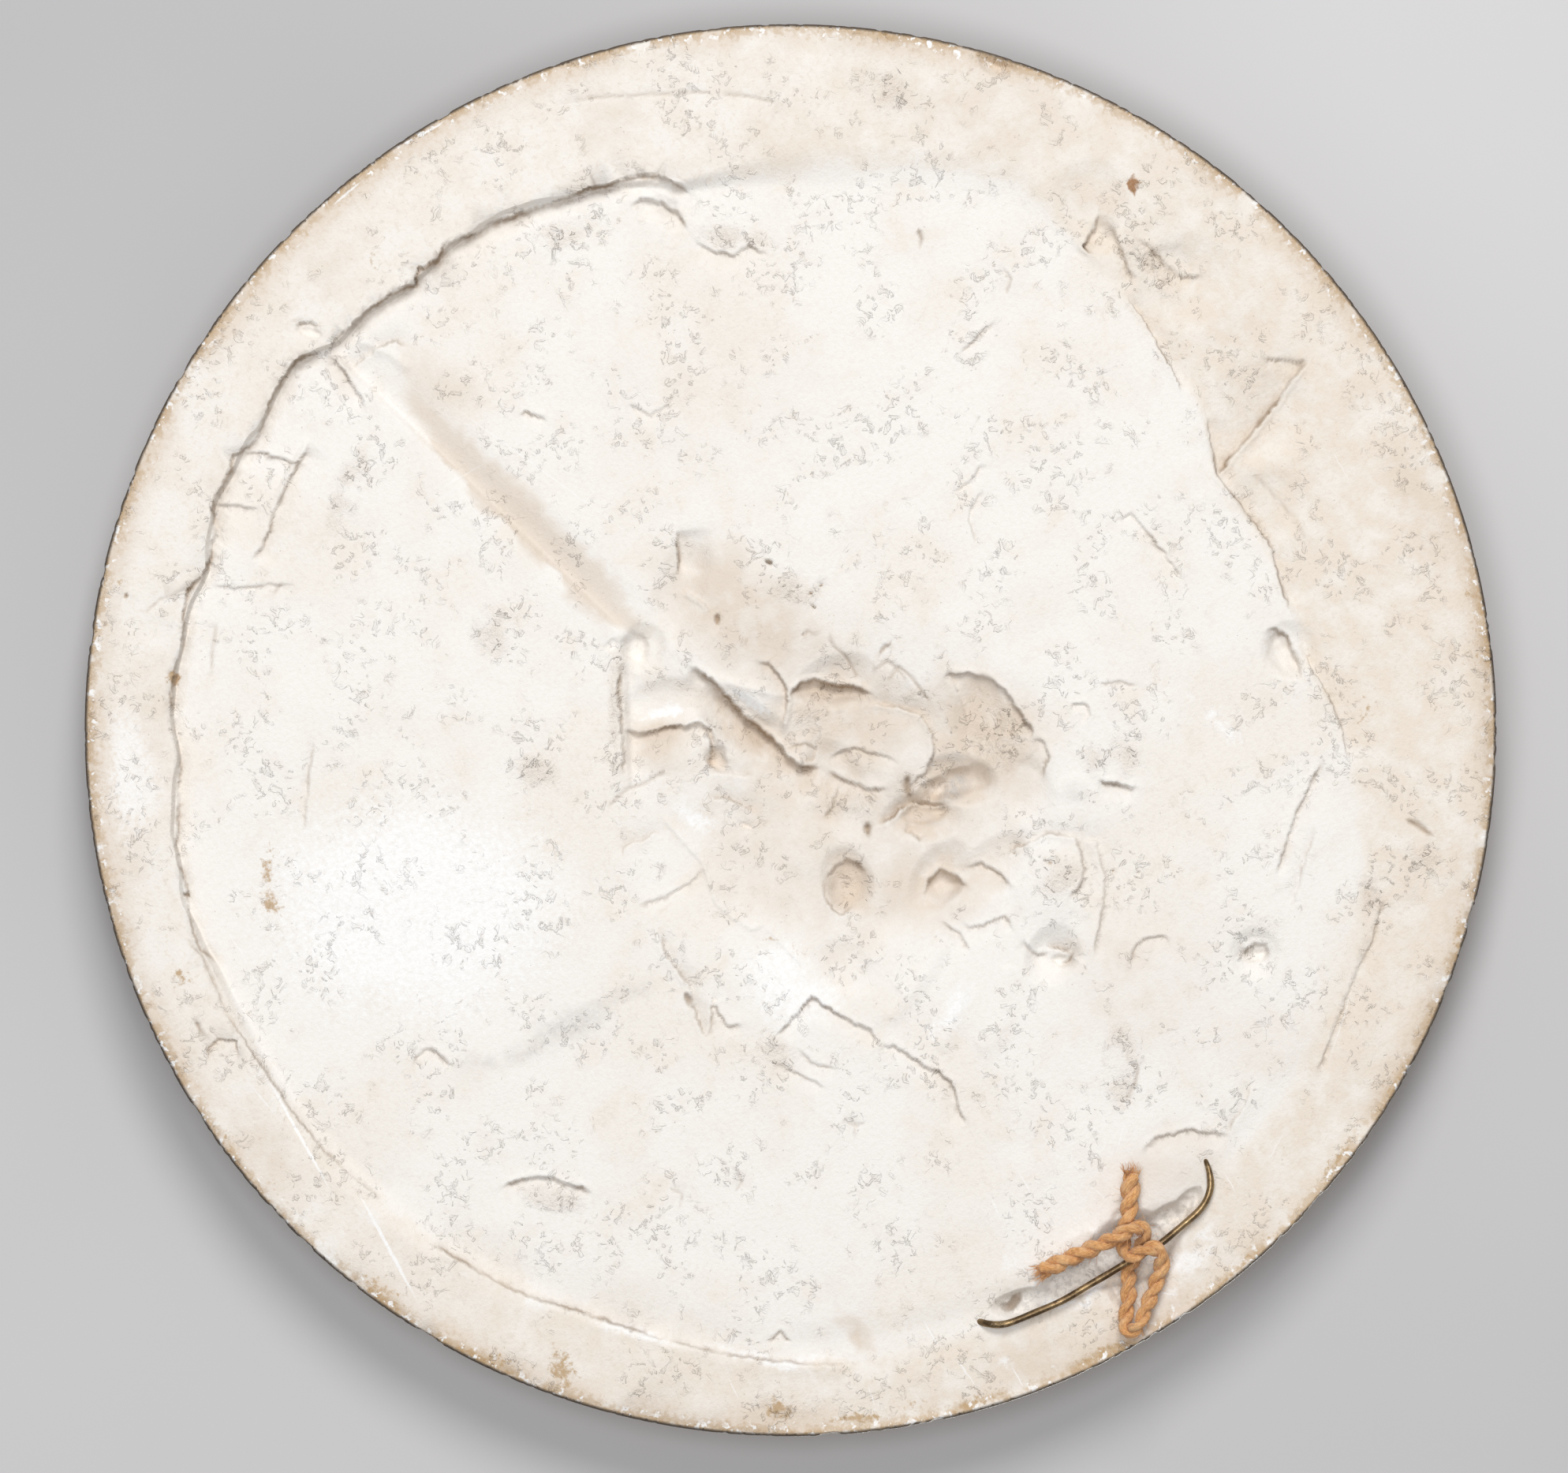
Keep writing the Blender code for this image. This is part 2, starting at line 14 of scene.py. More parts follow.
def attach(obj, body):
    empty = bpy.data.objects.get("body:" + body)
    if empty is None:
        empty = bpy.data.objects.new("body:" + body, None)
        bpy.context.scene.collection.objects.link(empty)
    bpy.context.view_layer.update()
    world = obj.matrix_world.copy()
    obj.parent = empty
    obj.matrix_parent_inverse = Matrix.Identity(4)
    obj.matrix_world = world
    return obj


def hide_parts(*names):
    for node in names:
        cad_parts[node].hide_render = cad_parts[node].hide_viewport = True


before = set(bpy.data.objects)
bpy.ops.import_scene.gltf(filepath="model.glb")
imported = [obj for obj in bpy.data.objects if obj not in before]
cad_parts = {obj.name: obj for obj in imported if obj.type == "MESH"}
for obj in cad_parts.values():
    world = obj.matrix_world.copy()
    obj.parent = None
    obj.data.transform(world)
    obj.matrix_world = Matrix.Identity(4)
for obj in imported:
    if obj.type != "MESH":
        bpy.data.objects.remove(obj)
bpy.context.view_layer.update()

MM = 0.001

# Photo: the disc's centre in pixels, the size of a pixel and the turn of the photo against the frame
photo_width = 1988
photo_height = 1867
photo_centre = (1002.4, 925.6)
pixel_mm = 0.22331
roll_degrees = 29.60
camera_distance = 2.4
sensor_width = 36.0

# Disc
disc_radius = 200.0 * MM
back_edge_inset = 1.2 * MM
back_edge_round = 1.5 * MM
rim_thickness = 30.0 * MM
ground_thickness = 19.0 * MM
side_lean = 0.8 * MM
front_edge_height = 9.0 * MM
nail_to_edge = 7.0 * MM
nail_to_centre = disc_radius - nail_to_edge
nail_to_back = 4.0 * MM

# Back: a rougher field, struck off below the rim and out of true with it
field_level = -2.3 * MM
field_rise_x = 0.0091
field_rise_z = 0.0086
# Each row is an angle in degrees, the width of the rim there and the width of the slope, in mm
field_edge_rows = (
    (0, 59, 3), (12, 54.5, 3), (22, 53, 3), (30, 43, 4), (45, 32, 14), (75, 24, 16),
    (112, 20, 16), (140, 24, 9), (168, 22, 9), (184, 24, 3), (194, 22, 1.2), (200, 22, 1.2),
    (207, 26.5, 1.2), (214, 24, 1.2), (225, 28.5, 1.4), (231, 24, 1.2), (239, 27, 1.4), (246, 24.5, 1.4),
    (250, 30.5, 1.4), (258, 34, 1.4), (268, 32, 1.4), (279, 36, 1.6), (289, 43, 4), (305, 40, 14),
    (322, 32, 12), (331, 41, 4), (342, 48.5, 3), (352, 53, 3),
)
edge_raggedness = 0.9 * MM
# Waves round the ragged edge: how many, how strong and where they start, in radians
edge_waves = ((23.0, 0.5, 0.0), (41.0, 0.35, 1.3), (67.0, 0.25, 0.4))
ragged_slope_limit = 6.0 * MM
ragged_slope_fade = 4.0 * MM
# The rim sags below its own plane beside the high side of the field
sag_middle_degrees = 2.0
sag_half_span_degrees = 44.0
sag_flatness = 1.5
sag_depth = 2.0 * MM
sag_to_edge = 10.0 * MM

# Back: steps in the struck plaster, as start, end, drop and the width over which the low side recovers
# The first runs from the ledge to the hollow, the others bound the hollow
step_rows = (
    (-61.3, -158.0, -29.0, -47.7, 2.6, 13.0),
    (-30.5, -43.2, -48.8, -8.8, 2.2, 18.0),
    (-0.4, -65.4, -7.6, -52.0, 1.2, 12.0),
)
step_slope = 2.4 * MM
step_start_share = 0.3
step_end_share = 0.5

# Back: the hollow worked by hand in the soft plaster
hollow_centre = (4.0 * MM, 27.0 * MM)
hollow_radius = 66.0 * MM
hollow_lobes = 0.12
hollow_lobe_turn = 0.6
hollow_flatness = 1.5
hollow_depth = 4.2 * MM
finger_width = 16.0 * MM
# Each row is a fingertip's mark: across, up, length, turn in degrees and depth
finger_rows = (
    (-25, -41, 15, 60, 2.4), (-11, -9, 34, 62, 3.2), (-27, -24, 26, 20, 2.2), (18, -6, 26, 10, 2.6),
    (35, 36, 24, 40, 3.6), (21, 40, 24, 30, 3.0), (-7, 45, 22, 100, 2.8), (16, 57, 26, 150, 2.6),
    (30, 62, 30, 170, 1.8), (48, 24, 30, 120, 2.0), (33, 92, 20, 150, 3.0), (-8, -50, 40, 140, 1.6),
    (5, 16, 24, 75, 2.2), (83, 120, 16, 150, 2.4), (-20, 66, 22, 60, 1.4), (50, 48, 26, 95, 1.6),
)

# Back: broken-out patches on the rim, as angle in degrees, distance from the edge, radius and depth
rim_patches = (
    (316.82, -0.21, 7, 4), (329.26, 27.81, 13, 1.4), (341.03, 30.81, 15, 1.6), (20.46, 56.98, 9, 2.2),
    (355.71, 39.55, 17, 1.5), (4.57, 49.52, 12, 1.3), (218.51, 18.53, 5, 0.4),
)

# Hanger: one wire whose two ends are set in the plaster over a groove cut for the twine
wire_radius = 1.0 * MM
# Route of the wire as across, down from the top of the disc and out from the rim, in mm
wire_route = (
    (-38.5, 31, -6.5), (-36.6, 28.4, -3.2), (-34.5, 26.4, -0.2), (-31.2, 24.4, 1.3), (-26.8, 23.3, 1.6),
    (-16, 22, 1.7), (-4, 21.8, 1.7), (8, 22, 1.7), (19, 22.2, 1.7), (30, 23.9, 1.7),
    (35.5, 25.7, 1.7), (39.2, 28.6, 1.4), (41, 32, 0.8), (41.8, 35, -0.5), (42.2, 38, -3),
    (42.2, 40.5, -6),
)
# Each groove is an oval: across, down from the top of the disc, length, width and depth
groove_rows = (
    (-22, 26, 22, 9, 3.6), (-6, 25, 26, 11, 4.2), (11, 23.5, 31, 24, 5.6), (22, 25.5, 24, 11, 4.4),
    (-26, 27.5, 9, 6, 3.2), (31, 27.5, 14, 7, 2.8), (6, 16, 18, 15, 3.2), (14, 31.5, 11, 11, 1.6),
)
groove_turn_rows = (18, 4, 0, -8, 10, -20, 90, 0)
groove_flatness = 1.6
scrape_sector = (58.0, 122.0)
scrape_side_degrees = 6.0
scrape_width = 34.0 * MM
scrape_depth = 0.8 * MM
scrape_slope = 8.0 * MM

# Twine: one knotted length, from the tip of one tail through the loop to the tip of the other
# Route of the twine as across, down from the top of the disc and out from the rim, in mm
twine_route = (
    (22.2, 44, 3.4), (20.2, 40.9, 3.4), (18.4, 37.8, 3.4), (16, 34.7, 3.1), (13.6, 31.9, 2.3),
    (11.6, 29.3, 1.6), (9.8, 26.7, 2.2), (9.3, 24.3, 4.1), (11.6, 23, 5.4), (14.6, 23, 5.8),
    (17, 22, 5.6), (18, 19.8, 4.6), (16.9, 17, 3.3), (13.8, 14, 2.9), (9.8, 10.8, 3.5),
    (6.4, 8.2, 4.8), (3.6, 5.9, 5.9), (0.8, 4.7, 5.3), (-0.9, 5.7, 3.4), (-0.3, 8, 2.1),
    (2.2, 11, 1.9), (4.3, 14.1, 1.6), (5.9, 16.9, 0.6), (7.5, 19.2, -0.9), (9.5, 21.1, -1.8),
    (11.8, 22.7, -1.9), (14.2, 24.1, -1), (16.2, 25.8, 0.8), (17, 27.8, 3), (15.8, 29.5, 5.1),
    (13.2, 30.2, 6.3), (10.4, 30.2, 6.3), (7.2, 30.2, 5.2), (3.4, 30.4, 4.1), (-1.2, 30.9, 3.3),
    (-6, 31.4, 3), (-10.4, 31.7, 3), (-14.6, 31.9, 3),
)

# Front: rim moulding, laurel wreath and rosette
moulding_width = 20.0 * MM
moulding_swell = 5.0 * MM
cove_width = 11.0 * MM
cove_fullness = 1.6
inner_ring_radius = 92.0 * MM
inner_ring_half_width = 4.5 * MM
inner_ring_height = 3.2 * MM
wreath_radius = 135.0 * MM
wreath_gap_degrees = 9.0
leaf_pairs = 11
leaf_length = 34.0 * MM
leaf_width = 13.0 * MM
leaf_height = 6.0 * MM
leaf_spread_degrees = 28.0
stem_half_width = 2.6 * MM
stem_height = 3.0 * MM
rosette_petals = 8
petal_fill = 0.94
outer_petal_foot = 22.0 * MM
outer_petal_tip = 70.0 * MM
outer_petal_height = 6.0 * MM
inner_petal_foot = 9.0 * MM
inner_petal_tip = 40.0 * MM
inner_petal_height = 8.0 * MM
boss_radius = 14.4 * MM
boss_height = 10.5 * MM
# Share of the length, half width and crown height at each station of a leaf and of a petal
leaf_stations = ((0.0, 0.12, 0.50), (0.30, 0.90, 0.92), (0.66, 0.90, 1.0), (1.0, 0.05, 0.35))
petal_stations = ((0.0, 1.0, 0.55), (0.36, 1.0, 0.86), (0.70, 1.0, 1.0), (0.90, 0.78, 0.86), (1.0, 0.40, 0.62))

# Fine mesh of the plaster
back_rings = 440
field_rings = 340
slope_rings = 40
front_rings = 230
plaster_triangles = 190000

# Fine relief of the back: the height and the size of each kind of bump, and a number that picks its pattern
broad_bumps = (0.22 * MM, 26.0 * MM, 11)
small_bumps = (0.11 * MM, 9.0 * MM, 21)
worked_bumps = (0.35 * MM, 13.0 * MM, 31)
coarse_bumps = (0.32 * MM, 2.6 * MM, 51)
coarse_patch_bumps = (0.9, 5.0 * MM, 41)
line_wobbles = ((0.35 * MM, 1.8 * MM, 5), (0.25 * MM, 0.8 * MM, 6))
oval_bends = ((1.7 * MM, 7.0 * MM), (0.6 * MM, 2.4 * MM))
stain_bends = ((2.6 * MM, 9.0 * MM), (0.6 * MM, 2.2 * MM))
bumps_at_rim = 0.45
mark_edge_power = 0.8
lip_fade = 5.0 * MM
lip_start_share = 0.15
lip_fall_power = 1.6
lip_slope = 0.4 * MM
lip_lead = 0.12 * MM
crest_share = 0.20
crest_width = 0.7 * MM
flat_edge_width = 1.6 * MM
flat_edge_share = 0.4
worn_front = (0.14 * MM, 16.0 * MM, 71)
worn_front_fade = 12.0 * MM
nick_bumps = (0.30 * MM, 2.4 * MM, 91)
chip_size = 5.0 * MM
chip_depth = 0.5 * MM
side_middle = 10.0 * MM
side_low = 16.0 * MM

# Colour of the back: where the back ends on the side, the grooves' grey and the painted shade at the lips
back_limit = -17.5 * MM
pocket_start = 1.6 * MM
pocket_fade = 2.4 * MM
dark_dent_depth = 0.9
dark_dent_length = 8.0
dark_dent_width = 4.0
shade_reach = 5.5 * MM
shade_bumps = 5.0 * MM
foot_shade_width = 2.1 * MM

# Carving of the front: each leaf's bow, edge and veins (height, count, slant), each petal's rounded tip and lobes
# as shares of its length and half width, and its veins (height, count)
leaf_margin = 0.03
leaf_bow_power = 0.85
leaf_edge_power = 0.8
leaf_crown_power = 0.75
leaf_veins = (0.05, 7.0, 0.9)
petal_round = (0.7, 0.3)
petal_lobe = (0.6, 0.4)
petal_middle_rise = 0.75
petal_veins = (0.02, 34.0)
boss_rim_rise = 0.55

# Photo points of the marks on the back. Each lip has the drop and the reach of its low side in mm,
# the low side as seen when walking along its points, and the points in pixels.
RIGHT, LEFT = 1.0, -1.0
lip_boldness = 1.6
dent_boldness = 1.3
lips = {
    "ledge_top": (2.0, 6, LEFT, (
        (874, 243), (850, 228), (823, 218), (790, 226), (760, 235), (742, 239), (711, 251), (677, 262), (646, 274),
        (615, 283), (600, 295), (579, 302), (560, 314), (554, 327), (539, 337), (529, 338), (525, 358), (512, 362),
        (493, 373), (470, 389), (451, 406), (428, 425), (413, 444),
    )),
    "ledge_left": (1.7, 5, LEFT, (
        (405, 445), (382, 450), (369, 461), (357, 478), (347, 498), (336, 521), (330, 538), (326, 551), (315, 563),
        (302, 572), (294, 576), (290, 597), (280, 614), (269, 633), (268, 651), (271, 674), (266, 697), (261, 720),
        (250, 735), (238, 745), (233, 765), (230, 790), (228, 823), (220, 850), (217, 869), (214, 890), (216, 907),
    )),
    "ledge_low": (1.0, 4, LEFT, (
        (216, 907), (222, 940), (226, 965), (224, 995), (225, 1022), (223, 1060), (222, 1089), (228, 1104), (234, 1120),
        (237, 1150), (245, 1185), (252, 1205), (274, 1223),
    )),
    "hollow_left_edge": (1.3, 13, LEFT, ((856, 672), (859, 700), (857, 728))),
    "hollow_upper_curve": (0.5, 5, LEFT, ((860, 747), (878, 756), (899, 771), (907, 786))),
    "left_arc": (1.0, 7, RIGHT, ((958, 837), (974, 840), (988, 854), (997, 873), (999, 890), (990, 929))),
    "eyebrow": (2.0, 8, RIGHT, (
        (1000, 884), (1006, 874), (1017, 865), (1033, 861), (1055, 868), (1087, 869), (1106, 880),
    )),
    "main_ridge": (2.4, 13, RIGHT, (
        (875, 844), (902, 860), (945, 908), (961, 921), (993, 948), (1001, 961), (1017, 972), (1039, 972),
    )),
    "left_lip": (1.7, 10, RIGHT, ((789, 927), (816, 928), (848, 921), (886, 917), (902, 924), (905, 937))),
    "left_wall": (1.2, 11, LEFT, ((786, 838), (783, 870), (784, 897), (788, 924), (789, 985))),
    "notch_wall": (1.4, 5, LEFT, ((897, 926), (901, 951), (898, 975))),
    "palm_edge": (0.6, 5, LEFT, ((897, 979), (947, 983), (957, 986))),
    "palm_line": (0.7, 5, LEFT, ((894, 1012), (918, 1012), (937, 1019), (950, 1026), (958, 1034))),
    "centre_lip": (1.1, 7, RIGHT, ((1047, 977), (1068, 986), (1101, 999), (1127, 998))),
    "centre_branch": (0.7, 4, LEFT, ((1064, 996), (1055, 1020), (1044, 1039))),
    "big_arc": (0.9, 9, LEFT, (
        (1099, 891), (1140, 897), (1166, 906), (1182, 930), (1183, 956), (1175, 979), (1160, 988), (1151, 1000),
    )),
    "small_arc": (0.7, 5, RIGHT, ((1050, 965), (1062, 953), (1085, 948), (1128, 960), (1140, 968))),
    "knuckle_arc": (0.6, 4, RIGHT, ((995, 948), (1022, 942), (1035, 948), (1032, 962), (1018, 968))),
    "deep_lip": (1.6, 9, LEFT, ((1113, 1047), (1128, 1041), (1141, 1028), (1157, 1018), (1180, 1022), (1204, 1020))),
    "deep_lip_end": (1.0, 6, LEFT, ((1146, 1053), (1157, 1057), (1169, 1067))),
    "rough_hollow_top": (1.0, 7, RIGHT, ((1046, 1117), (1058, 1100), (1072, 1090), (1090, 1094), (1099, 1108))),
    "rough_hollow_left": (0.7, 4, RIGHT, ((1084, 1150), (1064, 1162), (1046, 1143), (1043, 1120))),
    "bowl_lip": (2.0, 9, RIGHT, ((1172, 1137), (1176, 1118), (1191, 1103), (1216, 1112), (1228, 1124))),
    "bump_arc_1": (0.9, 7, RIGHT, ((1222, 1100), (1245, 1094), (1269, 1106), (1286, 1126))),
    "bump_arc_2": (0.8, 6, LEFT, (
        (1275, 1085), (1295, 1073), (1333, 1056), (1363, 1062), (1374, 1097), (1371, 1120), (1354, 1141),
    )),
    "fan_edge": (1.3, 20, RIGHT, (
        (1196, 862), (1204, 853), (1228, 853), (1251, 858), (1275, 874), (1289, 897), (1304, 918), (1310, 927),
        (1307, 938),
    )),
    "fan_edge_end": (0.8, 10, RIGHT, ((1307, 936), (1324, 938), (1330, 960), (1322, 990))),
    "flake_right": (0.8, 4, RIGHT, ((1358, 905), (1360, 893), (1377, 891), (1382, 906), (1370, 918))),
    "slit_right": (1.3, 7, RIGHT, ((1393, 988), (1415, 993), (1442, 1000))),
    "right_crack": (0.4, 3, RIGHT, ((1393, 866), (1420, 864), (1442, 868))),
    "right_bulge": (0.6, 8, LEFT, ((1368, 1063), (1389, 1067), (1401, 1108), (1398, 1147), (1386, 1214))),
    "lower_ridge_1": (1.1, 6, RIGHT, (
        (984, 1313), (1001, 1296), (1016, 1278), (1029, 1263), (1046, 1275), (1070, 1289), (1104, 1306),
        (1115, 1327),
    )),
    "lower_ridge_2": (1.0, 6, RIGHT, (
        (1115, 1327), (1132, 1324), (1149, 1334), (1173, 1351), (1190, 1358), (1208, 1372), (1215, 1406),
        (1228, 1424),
    )),
    "lower_crack_1": (0.5, 4, RIGHT, ((980, 1344), (1015, 1362), (1048, 1380))),
    "lower_crack_2": (0.5, 4, RIGHT, ((1011, 1327), (1029, 1348), (1063, 1355))),
    "lower_lip": (0.9, 5, LEFT, (
        (834, 1179), (843, 1210), (860, 1232), (874, 1251), (877, 1275), (891, 1310), (899, 1317),
    )),
    "lower_lip_end": (0.7, 4, RIGHT, ((899, 1317), (903, 1272), (922, 1300), (946, 1300))),
    "plate_edge": (0.6, 5, RIGHT, ((808, 1148), (853, 1131), (880, 1114), (891, 1098))),
    "plate_top": (0.4, 4, LEFT, ((786, 1090), (795, 1070), (812, 1068), (830, 1055), (842, 1062))),
    "bump_dent_edge": (0.9, 5, RIGHT, ((1296, 1192), (1316, 1211), (1330, 1208))),
    "bump_dent_2": (1.2, 4, LEFT, ((1326, 1202), (1348, 1204), (1360, 1211), (1345, 1226))),
    "finger_line_1": (0.7, 6, RIGHT, ((1194, 1168), (1216, 1182), (1231, 1205))),
    "finger_line_2": (0.6, 5, RIGHT, ((1220, 1166), (1228, 1176), (1245, 1173), (1275, 1161), (1289, 1182))),
    "bottom_flake": (1.3, 6, RIGHT, (
        (636, 1506), (655, 1497), (680, 1492), (700, 1494), (722, 1502), (738, 1504), (750, 1514),
    )),
    "chip_left": (0.9, 4, RIGHT, ((262, 1348), (261, 1330), (275, 1316), (300, 1318), (303, 1345))),
    "ledge_patch_1": (1.4, 6, RIGHT, ((798, 262), (812, 250), (840, 256), (862, 270), (872, 290))),
    "ledge_patch_2": (0.8, 6, RIGHT, ((880, 302), (905, 318), (930, 322), (950, 310), (975, 322))),
    "hook_top": (0.9, 4, RIGHT, ((659, 528), (664, 520), (680, 525), (694, 532))),
    "crack_top": (0.5, 4, RIGHT, ((793, 512), (812, 518), (825, 525), (846, 512), (855, 492))),
    "chip_zone_1": (1.5, 8, LEFT, ((1392, 270), (1388, 290), (1372, 312), (1385, 322))),
    "chip_zone_2": (1.0, 8, RIGHT, ((1408, 285), (1420, 310), (1432, 345), (1445, 352))),
    "chip_zone_3": (0.9, 6, RIGHT, ((1440, 300), (1460, 312), (1478, 335), (1500, 350), (1528, 350))),
    "chip_zone_4": (0.8, 7, LEFT, ((1428, 376), (1447, 400), (1460, 424), (1478, 455), (1492, 478), (1498, 500))),
    "wedge": (1.6, 12, LEFT, ((1543, 603), (1562, 580), (1590, 548), (1620, 510), (1640, 480), (1658, 459))),
    "wedge_top": (0.7, 5, RIGHT, ((1600, 452), (1625, 455), (1658, 459))),
    "right_edge_1": (0.8, 9, LEFT, ((1530, 529), (1543, 603), (1581, 650), (1613, 695), (1622, 735), (1635, 772))),
    "right_edge_2": (0.5, 9, LEFT, ((1651, 823), (1668, 855), (1690, 893), (1703, 930), (1709, 965))),
    "right_dent_edge": (1.2, 6, RIGHT, ((1605, 800), (1617, 797), (1632, 806), (1645, 835), (1651, 861))),
    "right_line": (0.6, 4, RIGHT, ((1412, 660), (1434, 650), (1460, 680), (1485, 712), (1501, 737))),
    "upper_line": (0.6, 4, RIGHT, ((1217, 446), (1240, 424), (1262, 405))),
    "upper_line_2": (0.5, 3, RIGHT, ((1271, 338), (1283, 352), (1276, 374))),
    "mid_crack_1": (0.6, 3, RIGHT, ((1207, 624), (1228, 612), (1243, 592), (1254, 590))),
    "mid_crack_2": (0.5, 3, LEFT, ((1246, 618), (1232, 640), (1228, 660), (1238, 690))),
    "lens_left": (0.8, 7, LEFT, ((1676, 966), (1655, 1005), (1640, 1040), (1625, 1085), (1618, 1110))),
    "lens_right": (0.6, 5, RIGHT, ((1672, 1050), (1660, 1080), (1650, 1110), (1640, 1150))),
    "corner_line": (0.6, 8, LEFT, ((1752, 1140), (1740, 1190), (1712, 1250), (1690, 1310), (1668, 1360))),
    "dent_lower_right": (1.2, 6, RIGHT, ((1575, 1212), (1590, 1195), (1605, 1198), (1610, 1215))),
    "crack_lower_right": (0.5, 4, RIGHT, ((1588, 1370), (1582, 1395), (1566, 1420), (1556, 1440))),
    "crack_lower_right_2": (0.6, 4, RIGHT, ((1430, 1225), (1438, 1200), (1455, 1188), (1478, 1186), (1485, 1200))),
    "left_thread": (0.5, 3, RIGHT, ((399, 935), (392, 980), (388, 1020), (386, 1055))),
    "left_hook": (0.7, 5, RIGHT, ((523, 1352), (527, 1338), (545, 1328), (560, 1340), (578, 1352))),
    "bottom_flake_2": (0.7, 4, RIGHT, ((972, 1700), (990, 1687), (1004, 1702))),
    "notch_top": (1.3, 4, RIGHT, ((374, 412), (383, 409), (393, 409), (404, 412))),
    "rib_1": (1.0, 9, RIGHT, ((414, 446), (430, 462), (455, 500), (462, 520))),
    "rib_2": (0.8, 6, LEFT, ((440, 470), (480, 440), (500, 432), (518, 440))),
    "rib_3": (1.2, 10, LEFT, ((392, 560), (368, 600), (350, 640), (332, 690), (318, 710))),
    "rib_4": (0.7, 8, RIGHT, ((297, 574), (330, 572), (368, 585), (385, 590))),
    "rib_5": (0.7, 8, RIGHT, ((268, 638), (300, 640), (330, 645))),
    "rib_6": (0.4, 6, RIGHT, ((265, 740), (300, 745), (340, 740), (376, 741))),
    "bottom_board": (1.1, 14, LEFT, (
        (548, 1580), (574, 1593), (605, 1612), (638, 1631), (680, 1648), (733, 1663), (790, 1683), (848, 1701),
    )),
    "bottom_board_2": (0.9, 12, LEFT, ((848, 1701), (900, 1714), (957, 1724), (1020, 1730), (1080, 1730))),
    "left_board": (0.7, 8, LEFT, (
        (234, 1195), (252, 1210), (265, 1235), (280, 1270), (300, 1308), (338, 1363), (370, 1410), (408, 1459),
        (445, 1492), (485, 1523),
    )),
    "hanger_scar": (0.8, 6, RIGHT, ((1445, 1460), (1470, 1440), (1510, 1432), (1560, 1440))),
}

# Cracks and thin grooves: depth and half width in mm, and the photo points
cracks = {
    "blade_cut": (0.5, 0.5, ((773, 1020), (797, 999), (816, 994), (843, 977))),
    "branch_1": (0.5, 0.5, ((1020, 809), (1023, 800), (1030, 802))),
    "branch_2": (0.6, 0.5, ((1055, 814), (1060, 822), (1072, 831), (1085, 854))),
    "branch_3": (0.9, 0.6, ((1116, 827), (1122, 820), (1128, 817))),
    "branch_4": (0.5, 0.5, ((1108, 850), (1125, 838), (1135, 845), (1150, 862))),
    "branch_5": (0.6, 0.5, ((1128, 860), (1140, 845), (1155, 858), (1168, 875), (1180, 890))),
    "slit_hand": (1.6, 1.0, ((1151, 985), (1150, 996), (1153, 1007))),
    "slit_palm": (2.0, 0.9, ((1100, 1045), (1101, 1057))),
    "top_dash_1": (0.5, 0.5, ((740, 125), (765, 123), (792, 121))),
    "top_dash_2": (0.5, 0.5, ((800, 121), (830, 119), (856, 119))),
    "top_dash_3": (0.5, 0.5, ((866, 117), (900, 117))),
    "top_dash_4": (0.5, 0.5, ((915, 119), (948, 122), (985, 130))),
    "right_thread": (0.4, 0.5, ((1590, 600), (1615, 627), (1640, 655), (1655, 684))),
    "right_mark": (1.0, 0.8, ((1787, 1040), (1798, 1046), (1811, 1056))),
    "star_1": (0.4, 0.4, ((1072, 1422), (1085, 1428), (1097, 1422))),
    "star_2": (0.4, 0.4, ((1078, 1415), (1085, 1428), (1083, 1440))),
    "thread_low": (0.4, 0.4, ((850, 1507), (865, 1515), (862, 1530))),
    "thread_low_2": (0.4, 0.4, ((935, 1482), (940, 1500), (932, 1512))),
    "mark_left": (0.5, 0.5, ((345, 753), (355, 740))),
    "slit_left": (0.9, 0.7, ((249, 1296), (253, 1304))),
    "dash_upper": (0.9, 0.7, ((1165, 292), (1169, 303))),
    "left_seam": (0.5, 0.45, ((273, 795), (270, 812), (267, 828), (267, 850))),
    "left_hair": (0.4, 0.4, ((184, 776), (198, 765), (203, 759), (213, 757))),
    "left_hair_2": (0.4, 0.4, ((295, 748), (301, 744), (315, 744), (332, 743))),
    "notch_lower": (0.6, 0.5, ((1430, 1390), (1440, 1372), (1444, 1350))),
}

